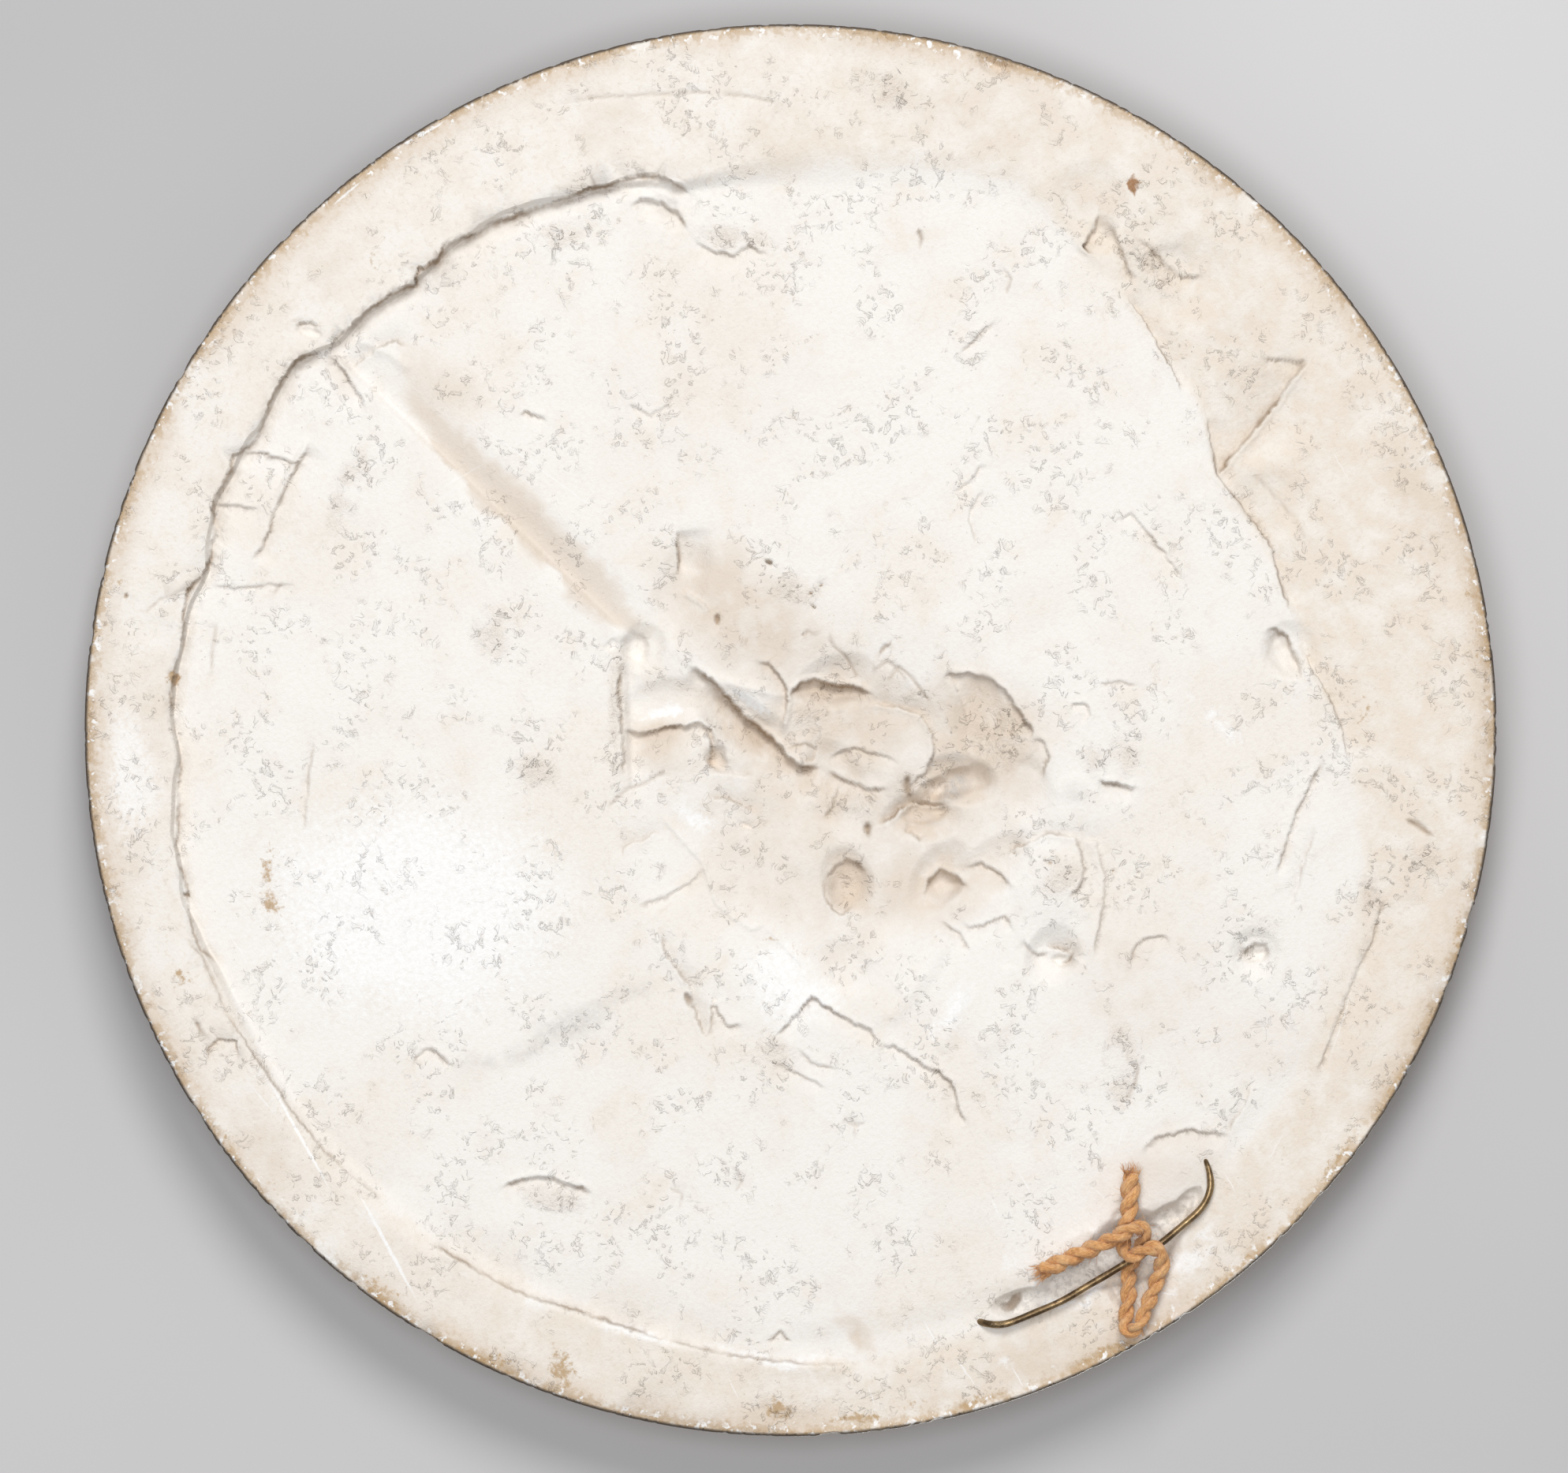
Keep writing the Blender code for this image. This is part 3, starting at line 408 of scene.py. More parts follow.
# Ridges squeezed up in the soft plaster: height and half width in mm, and the photo points
ridges = {
    "long_fine": (0.6, 0.7, (
        (839, 1034), (866, 1065), (891, 1093), (900, 1120), (908, 1145), (930, 1163), (953, 1177), (970, 1172),
    )),
    "long_fine_end": (0.5, 0.7, ((970, 1172), (995, 1200), (1018, 1224))),
    "hollow_rim": (0.7, 0.8, ((864, 748), (880, 757), (899, 770))),
    "bulge_1": (0.6, 2.4, ((1194, 1171), (1197, 1196), (1180, 1227), (1125, 1296))),
    "bulge_2": (0.6, 2.6, ((1225, 1193), (1218, 1258), (1201, 1317), (1187, 1334))),
    "bulge_3": (0.6, 2.8, ((1277, 1220), (1275, 1293), (1259, 1320), (1235, 1331))),
    "facet_edge": (0.9, 1.2, ((905, 860), (950, 872), (998, 884), (994, 928))),
    "board_ridge_1": (0.7, 1.6, ((553, 1585), (605, 1618), (680, 1655), (760, 1682), (840, 1706))),
    "board_ridge_2": (0.7, 2.2, ((840, 1706), (900, 1720), (980, 1733), (1075, 1738))),
    "left_ridge": (0.4, 1.0, ((287, 1274), (338, 1363), (408, 1459), (485, 1523))),
    "smear_ridge": (0.5, 1.3, ((1404, 1570), (1380, 1560), (1350, 1575))),
    "rib_ridge_1": (0.8, 1.2, ((392, 556), (372, 592), (350, 632))),
    "rib_ridge_2": (0.6, 1.4, ((452, 430), (500, 452), (520, 470))),
    "plate_ridge": (0.5, 1.0, ((1170, 905), (1184, 935), (1180, 970))),
    "bubble_1": (0.35, 0.4, ((1059, 898), (1063, 894), (1067, 898), (1063, 902), (1059, 898))),
    "bubble_2": (0.35, 0.4, ((1372, 1156), (1377, 1151), (1382, 1156), (1377, 1161), (1372, 1156))),
    "bubble_3": (0.35, 0.4, ((944, 1238), (949, 1233), (954, 1238), (949, 1243), (944, 1238))),
    "bubble_4": (0.35, 0.5, ((1021, 1020), (1028, 1014), (1035, 1020), (1030, 1027))),
    "hook_line": (0.35, 0.5, ((904, 868), (916, 874), (922, 888), (915, 898))),
}

# Dents: centre in pixels, length and width in mm, turn in degrees in the photo and depth in mm
dents = {
    "deep_1": (1216, 992, 19, 9, -20, 2.6),
    "deep_1_tail": (1188, 1000, 12, 7, -30, 1.6),
    "deep_2": (1172, 1034, 15, 7, -12, 2.4),
    "shade_1": (803, 818, 10, 8, 45, 1.8),
    "shade_2": (960, 926, 12, 8, 40, 0.9),
    "shade_3": (908, 956, 9, 8, 60, 2.0),
    "rough": (1070, 1124, 12, 14, 20, 1.2),
    "bowl": (1196, 1126, 10, 9, 0, 1.4),
    "crescent": (1052, 878, 20, 6, 3, 0.8),
    "palm_hole": (945, 1051, 4.5, 2, 0, 0.7),
    "pit_1": (976, 712, 2.6, 1.8, 45, 2.2),
    "pit_2": (1026, 751, 1.6, 1.4, 0, 1.6),
    "pit_3": (1030, 771, 1.8, 1.4, 0, 1.6),
    "pit_4": (1039, 735, 1.6, 1.0, -30, 1.2),
    "pit_5": (907, 783, 3.0, 2.0, 50, 1.6),
    "pit_6": (1286, 1079, 1.2, 1.0, 0, 1.2),
    "pit_7": (1333, 1095, 1.2, 1.0, 0, 1.2),
    "pit_8": (1409, 1108, 1.1, 0.9, 0, 1.2),
    "pit_9": (1449, 1107, 1.1, 0.9, 0, 1.2),
    "pit_10": (1023, 806, 1.2, 0.9, 0, 1.0),
    "pit_11": (775, 819, 4.4, 4.0, 0, 0.8),
    "pit_12": (240, 1136, 2.4, 2.0, 0, 1.8),
    "pit_13": (158, 761, 2.6, 1.3, 105, 1.2),
    "oval_right": (1629, 829, 15, 8, 62, 1.2),
    "dent_right": (1592, 1208, 9, 6, 0, 1.4),
    "wedge_floor": (1618, 540, 26, 12, -52, 0.6),
    "grey_pit": (877, 1263, 2.2, 3.2, 0, 1.4),
    "crescent_low": (1345, 1214, 7, 4.5, 10, 1.4),
    "ledge_notch": (391, 419, 7, 4, 0, 1.1),
    "edge_notch": (1268, 67, 5, 3, 30, 1.2),
    "patch_top": (838, 268, 14, 8, 15, 0.9),
    "chip_floor": (1400, 300, 12, 9, 60, 1.2),
    "chip_floor_2": (1480, 335, 18, 12, 20, 0.8),
    "line_dip": (1362, 996, 12, 9, 0, -0.3),
    "pocket_left": (1285, 1656, 7.0, 3.2, -28, 1.8),
    "pocket_mid": (1309, 1628, 3.0, 4.0, 0, 0.7),
    "pocket_right": (1500, 1534, 13, 4.0, -35, 1.6),
}

# Patches of coarser plaster: centre in pixels, length and width in mm and turn in degrees in the photo
rough_patches = {
    "hollow_top": (1008, 748, 18, 9, 5),
    "hollow_right": (1145, 862, 20, 12, 40),
    "brow": (1052, 884, 24, 8, 3),
    "brow_low": (1040, 912, 22, 12, 10),
    "fan": (1270, 930, 20, 26, -20),
    "left_wall": (782, 900, 6, 44, 0),
    "upper_left": (630, 800, 18, 18, 0),
    "mid_left": (680, 980, 18, 12, 25),
    "ledge_top": (700, 300, 34, 10, -25),
    "top_mid": (930, 300, 26, 9, 8),
    "top_right": (1120, 110, 24, 14, 20),
    "chips": (1460, 340, 28, 16, 30),
    "lower_right": (1600, 1190, 22, 16, 0),
    "right_low": (1740, 1130, 18, 14, 0),
    "wreck": (970, 1330, 22, 12, 20),
    "bottom": (700, 1520, 24, 9, 12),
    "right_mid": (1410, 960, 20, 18, 0),
    "left_band": (440, 620, 10, 32, 20),
    "centre_right": (1340, 1110, 20, 16, 0),
    "lower_mid": (1420, 1350, 12, 30, 0),
    "palm": (1080, 1020, 22, 12, 0),
    "rough_hollow": (1072, 1124, 12, 14, 0),
    "rim_bottom": (1000, 1780, 30, 8, 2),
    "rim_right": (1800, 1100, 14, 24, 10),
}

# Gentle swells and hollows: centre in pixels, length and width in mm, turn and height in mm
swells = {
    "thumb_bulge": (1135, 945, 22, 22, 0, 0.9),
    "heel": (1050, 1080, 30, 20, 0, 0.7),
    "sweep": (1130, 1230, 50, 26, -45, 0.8),
    "right_bulge": (1330, 1120, 26, 26, 0, 0.9),
    "band_low": (640, 650, 90, 12, 44, -0.5),
    "facet": (965, 890, 22, 12, 30, 0.9),
    "left_slab": (845, 955, 24, 14, -5, 0.5),
    "lower_slab": (880, 1100, 26, 30, 0, 0.4),
    "fan_low": (1245, 920, 30, 26, 30, -0.7),
    "knuckle": (1018, 955, 9, 8, 0, 0.7),
}


def smooth_step(value):
    """0 below 0, 1 above 1 and an even S between them."""
    t = np.clip(value, 0.0, 1.0)
    return t * t * (3.0 - 2.0 * t)


def field_edge(angle):
    """Radius of the field's edge and the width of its slope at each angle, in radians."""
    degrees = np.degrees(angle) % 360.0
    table = np.array(field_edge_rows, dtype=float)
    radius = disc_radius - np.interp(degrees, table[:, 0], table[:, 1], period=360.0) * MM
    width = np.interp(degrees, table[:, 0], table[:, 2], period=360.0) * MM
    ripple = sum(strength * np.sin(count * angle + start) for count, strength, start in edge_waves)
    sharp = smooth_step((ragged_slope_limit - width) / ragged_slope_fade)
    return radius + edge_raggedness * ripple * sharp, width


def oval_dent(x, z, centre, length, width, turn_degrees):
    """1 at the bottom of an oval dent, falling to 0 at its edge."""
    turn = math.radians(turn_degrees)
    along = (x - centre[0]) * math.cos(turn) + (z - centre[1]) * math.sin(turn)
    across = (z - centre[1]) * math.cos(turn) - (x - centre[0]) * math.sin(turn)
    reach = (along / (0.5 * length)) ** 2 + (across / (0.5 * width)) ** 2
    return smooth_step(1.0 - reach)


def step_share(x, z, start, end, fade):
    """Share of a step's drop: full just beside its line and fading away from it."""
    run = np.subtract(end, start)
    length = np.hypot(*run)
    run = run / length
    along = (x - start[0]) * run[0] + (z - start[1]) * run[1]
    beside = (x - start[0]) * run[1] - (z - start[1]) * run[0]
    ends = smooth_step(along / fade + step_start_share)
    ends = ends * smooth_step((length - along) / fade + step_end_share)
    slope = smooth_step(beside / step_slope) * np.clip(1.0 - beside / fade, 0.0, 1.0)
    return slope * ends


def back_height(x, z):
    """How far the back stands out from the rim's plane, negative where it is lower."""
    radius = np.hypot(x, z)
    angle = np.arctan2(z, x)
    degrees = np.degrees(angle) % 360.0
    edge, width = field_edge(angle)
    inside = smooth_step((edge + 0.5 * width - radius) / width)
    level = field_level + field_rise_x * x + field_rise_z * z
    turned = (degrees - sag_middle_degrees + 180.0) % 360.0 - 180.0
    sag = smooth_step(sag_flatness * (1.0 - np.abs(turned) / sag_half_span_degrees))
    sag_outer = disc_radius - sag_to_edge
    sag = sag * np.clip((sag_outer - radius) / (sag_outer - edge), 0.0, 1.0)
    height = inside * level - (1.0 - inside) * sag_depth * sag

    for start_x, start_z, end_x, end_z, drop, fade in step_rows:
        start, end = (start_x * MM, start_z * MM), (end_x * MM, end_z * MM)
        height = height - drop * MM * step_share(x, z, start, end, fade * MM)
    bearing = np.arctan2(z - hollow_centre[1], x - hollow_centre[0])
    reach = hollow_radius * (1.0 + hollow_lobes * np.sin(3.0 * bearing + hollow_lobe_turn) * np.cos(bearing))
    away = np.hypot(x - hollow_centre[0], z - hollow_centre[1]) / reach
    height = height - hollow_depth * smooth_step(hollow_flatness * (1.0 - away))
    for across, up, length, turn, depth in finger_rows:
        mark = oval_dent(x, z, (across * MM, up * MM), length * MM, finger_width, turn)
        height = height - depth * MM * mark
    for bearing, inset, patch_radius, depth in rim_patches:
        away = disc_radius - inset * MM
        centre = (away * math.cos(math.radians(bearing)), away * math.sin(math.radians(bearing)))
        size = 2.0 * patch_radius * MM
        height = height - depth * MM * oval_dent(x, z, centre, size, size, 0.0)

    near = smooth_step((degrees - scrape_sector[0]) / scrape_side_degrees)
    near = near * smooth_step((scrape_sector[1] - degrees) / scrape_side_degrees)
    height = height - scrape_depth * near * smooth_step((radius - disc_radius + scrape_width) / scrape_slope)
    return height - groove_depth(x, z)


def groove_depth(x, z):
    """Depth of the grooves cut under the wire."""
    groove = np.zeros_like(x)
    for (across, down, length, wide, depth), turn in zip(groove_rows, groove_turn_rows):
        cut = oval_dent(x, z, (across * MM, disc_radius - down * MM), length * MM, wide * MM, turn)
        groove = np.maximum(groove, depth * MM * np.minimum(1.0, groove_flatness * cut))
    return groove


def front_height(x, z):
    """Thickness of the front's plain turned form: rim moulding, cove, ground and inner ring."""
    radius = np.hypot(x, z)
    crest = disc_radius - 0.5 * moulding_width
    swell = np.clip(1.0 - ((radius - crest) / (0.5 * moulding_width)) ** 2, 0.0, 1.0)
    shoulder = rim_thickness - moulding_swell
    moulding = shoulder + moulding_swell * np.sqrt(swell)
    inner = disc_radius - moulding_width
    fall = smooth_step((radius - (inner - cove_width)) / cove_width) ** cove_fullness
    cove = ground_thickness + (shoulder - ground_thickness) * fall
    ring = np.clip(1.0 - ((radius - inner_ring_radius) / inner_ring_half_width) ** 2, 0.0, 1.0)
    ground = ground_thickness + inner_ring_height * np.sqrt(ring)
    return np.where(radius >= inner, moulding, np.maximum(cove, ground))


def ring_start(ring):
    """Number of the first vertex of a ring; ring n holds 6n vertices around the middle one."""
    return 0 if ring == 0 else 1 + 3 * ring * (ring - 1)


def ring_coordinates(rings):
    """Ring number and angle of every vertex of a disc made of nested rings."""
    number = [np.zeros(1)]
    angle = [np.zeros(1)]
    for ring in range(1, rings + 1):
        number.append(np.full(6 * ring, float(ring)))
        angle.append(np.arange(6 * ring) * (2.0 * math.pi / (6 * ring)))
    return np.concatenate(number), np.concatenate(angle)


def disc_point(pixel):
    """Place on the disc, in metres from its centre, of a photo point."""
    across = (pixel[0] - photo_centre[0]) * pixel_mm * MM
    down = (pixel[1] - photo_centre[1]) * pixel_mm * MM
    turn = math.radians(roll_degrees)
    x = across * math.cos(turn) - down * math.sin(turn)
    z = across * math.sin(turn) + down * math.cos(turn)
    return x, z


def frame_turn(photo_turn):
    """Direction in the disc's plane, in degrees, of a photo direction in degrees with y down."""
    turn = math.radians(photo_turn)
    start = disc_point(photo_centre)
    end = disc_point((photo_centre[0] + 100.0 * math.cos(turn), photo_centre[1] + 100.0 * math.sin(turn)))
    return math.degrees(math.atan2(end[1] - start[1], end[0] - start[0]))


def hashed(column, row, seed):
    """Even random value from 0 to 1 for each whole-number cell."""
    mixed = (column * 374761393 + row * 668265263 + seed * 2147483647 + 1013904223).astype(np.uint64)
    mixed = (mixed ^ (mixed >> np.uint64(13))) * np.uint64(1274126177)
    mixed = mixed ^ (mixed >> np.uint64(16))
    return (mixed & np.uint64(0xFFFFFF)).astype(float) / float(0xFFFFFF)


def noise(x, z, size, seed):
    """Smooth random surface from -1 to 1 whose bumps are about size across."""
    u, v = x / size + 1000.0, z / size + 1000.0
    column, row = np.floor(u).astype(np.int64), np.floor(v).astype(np.int64)
    s, t = smooth_step(u - column), smooth_step(v - row)
    low = hashed(column, row, seed) * (1.0 - s) + hashed(column + 1, row, seed) * s
    high = hashed(column, row + 1, seed) * (1.0 - s) + hashed(column + 1, row + 1, seed) * s
    return 2.0 * (low * (1.0 - t) + high * t) - 1.0


def rough_noise(x, z, size, seed, octaves=3):
    """Several sizes of noise laid over each other."""
    total = np.zeros_like(x)
    share = 1.0
    for octave in range(octaves):
        turned_x, turned_z = 0.8 * x - 0.6 * z, 0.6 * x + 0.8 * z
        total += share * noise(turned_x, turned_z, size, seed + octave)
        x, z = turned_x, turned_z
        size *= 0.5
        share *= 0.55
    return total


def near_line(x, z, pixels, reach):
    """Vertices near a row of photo points, their distance, side and distance from its ends."""
    points = [disc_point(pixel) for pixel in pixels]
    low = np.min(points, axis=0) - reach
    high = np.max(points, axis=0) + reach
    near = np.nonzero((x > low[0]) & (x < high[0]) & (z > low[1]) & (z < high[1]))[0]
    px, pz = x[near], z[near]
    best = np.full(len(near), 1e9)
    side = np.zeros(len(near))
    place_on = np.zeros(len(near))
    walked = 0.0
    for start, end in zip(points, points[1:]):
        run = np.subtract(end, start)
        length = float(np.hypot(*run))
        along = np.clip(((px - start[0]) * run[0] + (pz - start[1]) * run[1]) / length ** 2, 0.0, 1.0)
        off_x, off_z = px - start[0] - along * run[0], pz - start[1] - along * run[1]
        distance = np.hypot(off_x, off_z)
        closer = distance < best
        best[closer] = distance[closer]
        side[closer] = np.sign(run[0] * off_z - run[1] * off_x)[closer]
        place_on[closer] = (walked + along * length)[closer]
        walked += length
    return near, best, side, np.minimum(place_on, walked - place_on), walked


def beside_lip(x, z, pixels, low_side, reach):
    """Vertices near a lip, how far each lies towards its low side, and the share left near its ends."""
    near, distance, side, to_end, length = near_line(x, z, pixels, reach)
    wobble = sum(strength * noise(x[near], z[near], size, seed) for strength, size, seed in line_wobbles)
    ends = smooth_step(to_end / min(0.25 * length, lip_fade) + lip_start_share)
    return near, distance * side * low_side + wobble, ends


def add_lips(x, z, height):
    """Drops the low side of each lip, steeply at its line and fading away from it."""
    for drop, reach, low_side, pixels in lips.values():
        near, beside, ends = beside_lip(x, z, pixels, low_side, reach * MM)
        fading = np.clip(1.0 - beside / (reach * MM), 0.0, 1.0) ** lip_fall_power
        fall = smooth_step((beside + lip_lead) / lip_slope) * fading
        crest = np.exp(-((beside + crest_width) / crest_width) ** 2)
        height[near] += (crest_share * drop * crest - drop * fall) * lip_boldness * MM * ends
    return height


def add_lines(x, z, height, lines, sign):
    """Cuts each crack or raises each ridge, with a round profile."""
    for size, half_width, pixels in lines.values():
        near, distance, _, to_end, length = near_line(x, z, pixels, 3.0 * half_width * MM)
        wobble = 0.25 * MM * noise(x[near], z[near], 1.4 * MM, 8)
        profile = np.exp(-((distance + wobble) / (half_width * MM)) ** 2)
        ends = smooth_step(to_end / min(0.3 * length, 3.0 * MM) + 0.1)
        height[near] += sign * size * MM * profile * ends
    return height


def patch(x, z, row, power=1.0):
    """1 in the middle of an oval patch given by its photo centre, falling to 0 at its edge."""
    centre_x, centre_y, length, width, turn = row[:5]
    centre = disc_point((centre_x, centre_y))
    return oval_dent(x, z, centre, length * MM, width * MM, frame_turn(turn)) ** power


def bent(x, z):
    """Places shifted a little, so that ovals drawn on them come out uneven."""
    (broad, broad_size), (fine, fine_size) = oval_bends
    return (x + broad * noise(x, z, broad_size, 61) + fine * noise(x, z, fine_size, 62),
            z + broad * noise(x, z, broad_size, 63) + fine * noise(x, z, fine_size, 64))


def coarse_share(x, z):
    """Share of coarse plaster at each place."""
    share = np.zeros_like(x)
    for row in rough_patches.values():
        share = np.maximum(share, patch(x, z, row, mark_edge_power))
    strength, size, seed = coarse_patch_bumps
    return share * smooth_step(0.6 + strength * noise(x, z, size, seed))


def fine_back(x, z):
    """Height of the back with all its marks."""
    radius = np.hypot(x, z)
    angle = np.arctan2(z, x)
    edge, _ = field_edge(angle)
    height = back_height(x, z)
    inside = smooth_step((edge - radius) / (4.0 * MM))
    height += broad_bumps[0] * rough_noise(x, z, *broad_bumps[1:]) * inside
    height += small_bumps[0] * rough_noise(x, z, *small_bumps[1:], 2) * (bumps_at_rim + (1.0 - bumps_at_rim) * inside)
    for row in swells.values():
        height += row[5] * MM * patch(x, z, row)
    away = np.hypot(x - hollow_centre[0], z - hollow_centre[1]) / hollow_radius
    worked = smooth_step(1.6 * (1.0 - away))
    height += worked_bumps[0] * rough_noise(x, z, *worked_bumps[1:]) * worked
    height -= coarse_bumps[0] * np.abs(rough_noise(x, z, *coarse_bumps[1:])) * coarse_share(x, z)
    height = add_lips(x, z, height)
    height = add_lines(x, z, height, cracks, -1.0)
    height = add_lines(x, z, height, ridges, 1.0)
    uneven_x, uneven_z = bent(x, z)
    for row in dents.values():
        height -= dent_boldness * row[5] * MM * patch(uneven_x, uneven_z, row, mark_edge_power)
    outline = disc_radius - back_edge_inset
    flat_edge = smooth_step((outline - radius) / flat_edge_width)
    height = np.minimum(height, 0.0)
    return height * flat_edge + height * flat_edge_share * (1.0 - flat_edge)


def leaf_height_at(x, z, height):
    """Raises the laurel leaves, with a sharp midrib and faint side veins."""
    stations = np.array(leaf_stations)
    span = 180.0 - 3.0 * wreath_gap_degrees
    for lean, shift in ((-1.0, 0.0), (1.0, 0.5)):
        for side in (-1.0, 1.0):
            for pair in range(leaf_pairs):
                turned = math.radians(0.5 * wreath_gap_degrees + span * (pair + shift) / leaf_pairs)
                foot = (side * wreath_radius * math.sin(turned), -wreath_radius * math.cos(turned))
                way = turned + lean * math.radians(leaf_spread_degrees)
                direction = (side * math.cos(way), math.sin(way))
                along = ((x - foot[0]) * direction[0] + (z - foot[1]) * direction[1]) / leaf_length
                across = (x - foot[0]) * direction[1] - (z - foot[1]) * direction[0]
                beyond = (along <= -leaf_margin) | (along >= 1.0 + leaf_margin) | (np.abs(across) >= 0.6 * leaf_width)
                near = np.nonzero(~beyond)[0]
                share = np.clip(along[near], 0.0, 1.0)
                bow = np.sin(math.pi * share ** leaf_bow_power)
                half = 0.5 * leaf_width * (0.05 + 0.9 * bow ** leaf_edge_power)
                crown = np.interp(share, stations[:, 0], stations[:, 2])
                beside = np.abs(across[near]) / half
                body = np.clip(1.0 - beside, 0.0, 1.0)
                strength, count, slant = leaf_veins
                veins = strength * np.sin(2.0 * math.pi * (count * share - slant * beside)) * smooth_step(4.0 * beside)
                rise = leaf_height * crown * (body ** leaf_crown_power + veins * body) * (beside < 1.0)
                height[near] = np.maximum(height[near], ground_thickness + rise * (along[near] > 0.0))
    return height


def stem_height_at(x, z, height):
    """Raises the bare stems of the wreath."""
    radius = np.hypot(x, z)
    degrees = np.degrees(np.arctan2(np.abs(x), -z))
    across = (radius - wreath_radius) / stem_half_width
    start = 0.5 * wreath_gap_degrees
    top = 180.0 - 1.5 * wreath_gap_degrees
    there = (degrees > start) & (degrees < top) & (np.abs(across) < 1.0)
    rise = stem_height * np.sqrt(np.clip(1.0 - across ** 2, 0.0, 1.0))
    return np.where(there, np.maximum(height, ground_thickness + rise), height)


def petal_height_at(x, z, height, start, tip, crown_height, shift):
    """Raises one ring of petals, each with two soft lobes and a rounded tip."""
    stations = np.array(petal_stations)
    half_sector = math.pi / rosette_petals
    length = tip - start
    for petal in range(rosette_petals):
        turned = 2.0 * half_sector * (petal + shift)
        direction = (math.cos(turned), math.sin(turned))
        forward = x * direction[0] + z * direction[1]
        across = x * direction[1] - z * direction[0]
        share = (forward - start) / length
        near = np.nonzero((share > 0.0) & (share < 1.0) & (np.abs(across) < tip * math.tan(half_sector)))[0]
        here = share[near]
        past = (here - petal_round[0]) / petal_round[1]
        rounded = np.where(past > 0.0, np.sqrt(np.clip(1.0 - past ** 2, 0.0, 1.0)), 1.0)
        half = petal_fill * (start + here * length) * math.tan(half_sector) * np.maximum(rounded, 0.02)
        beside = np.abs(across[near]) / half
        crown = np.interp(here, stations[:, 0], stations[:, 2])
        rise_to_lobe = np.sin(0.5 * math.pi * np.clip(beside / petal_lobe[0], 0.0, 1.0))
        lobe = petal_middle_rise + (1.0 - petal_middle_rise) * rise_to_lobe
        shoulder = np.clip((beside - petal_lobe[0]) / petal_lobe[1], 0.0, 1.0)
        shoulder = np.sqrt(np.clip(1.0 - shoulder ** 2, 0.0, 1.0))
        veins = petal_veins[0] * np.sin(petal_veins[1] * beside) * (1.0 - here)
        rise = crown_height * crown * (lobe + veins) * shoulder * (beside < 1.0)
        height[near] = np.maximum(height[near], ground_thickness + rise)
    return height


def fine_front(x, z):
    """Thickness of the moulded front: mouldings, wreath and rosette."""
    radius = np.hypot(x, z)
    height = front_height(x, z)
    height = leaf_height_at(x, z, height)
    height = stem_height_at(x, z, height)
    height = petal_height_at(x, z, height, outer_petal_foot, outer_petal_tip, outer_petal_height, 0.0)
    height = petal_height_at(x, z, height, inner_petal_foot, inner_petal_tip, inner_petal_height, 0.5)
    dome = np.clip(1.0 - (radius / boss_radius) ** 2, 0.0, 1.0)
    boss = np.minimum(1.0, boss_rim_rise + (1.0 - boss_rim_rise) * np.sqrt(dome)) * (radius < boss_radius)
    height = np.maximum(height, ground_thickness + boss_height * boss)
    worn = worn_front[0] * rough_noise(x, z, *worn_front[1:], 1)
    return np.minimum(height + worn * smooth_step((disc_radius - radius) / worn_front_fade), rim_thickness)


def fine_back_radius(number, angle):
    """Radius of each back vertex, with several rings down the slope at the field's edge."""
    outline = disc_radius - back_edge_inset
    edge, width = field_edge(angle)
    low, high = edge - 0.5 * width, edge + 0.5 * width
    inner = low * number / field_rings
    slope = low + width * (number - field_rings) / slope_rings
    top = field_rings + slope_rings
    outer = high + (outline - high) * (number - top) / (back_rings - top)
    return np.where(number <= field_rings, inner, np.where(number <= top, slope, outer))


def closed_surface(name, parts, triangles):
    """Object made from vertex blocks and triangle blocks."""
    vertices = np.concatenate(parts) - np.array((0.0, nail_to_back, nail_to_centre))
    faces = np.concatenate([np.asarray(block, dtype=np.int32).reshape(-1, 3) for block in triangles])
    mesh = bpy.data.meshes.new(name)
    mesh.vertices.add(len(vertices))
    mesh.vertices.foreach_set("co", vertices.astype(np.float32).ravel())
    mesh.loops.add(3 * len(faces))
    mesh.loops.foreach_set("vertex_index", faces.ravel())
    mesh.polygons.add(len(faces))
    mesh.polygons.foreach_set("loop_start", np.arange(0, 3 * len(faces), 3, dtype=np.int32))
    mesh.update(calc_edges=True)
    mesh.validate()
    item = bpy.data.objects.new(name, mesh)
    bpy.context.collection.objects.link(item)
    return item


def fast_ring_faces(rings):
    """Triangles between each ring and the next, worked out a ring at a time."""
    blocks = []
    for ring in range(rings):
        inner, outer = ring_start(ring), ring_start(ring + 1)
        count = 6 * (ring + 1)
        sector = np.repeat(np.arange(6), ring + 1)
        step = np.tile(np.arange(ring + 1), 6)
        first = outer + sector * (ring + 1) + step
        second = outer + (sector * (ring + 1) + step + 1) % count
        here = inner + (sector * ring + step) % max(6 * ring, 1)
        blocks.append(np.column_stack((here, first, second)))
        if ring:
            keep = step < ring
            after = inner + (sector * ring + step + 1) % (6 * ring)
            blocks.append(np.column_stack((here, second, after))[keep])
    return np.concatenate(blocks)


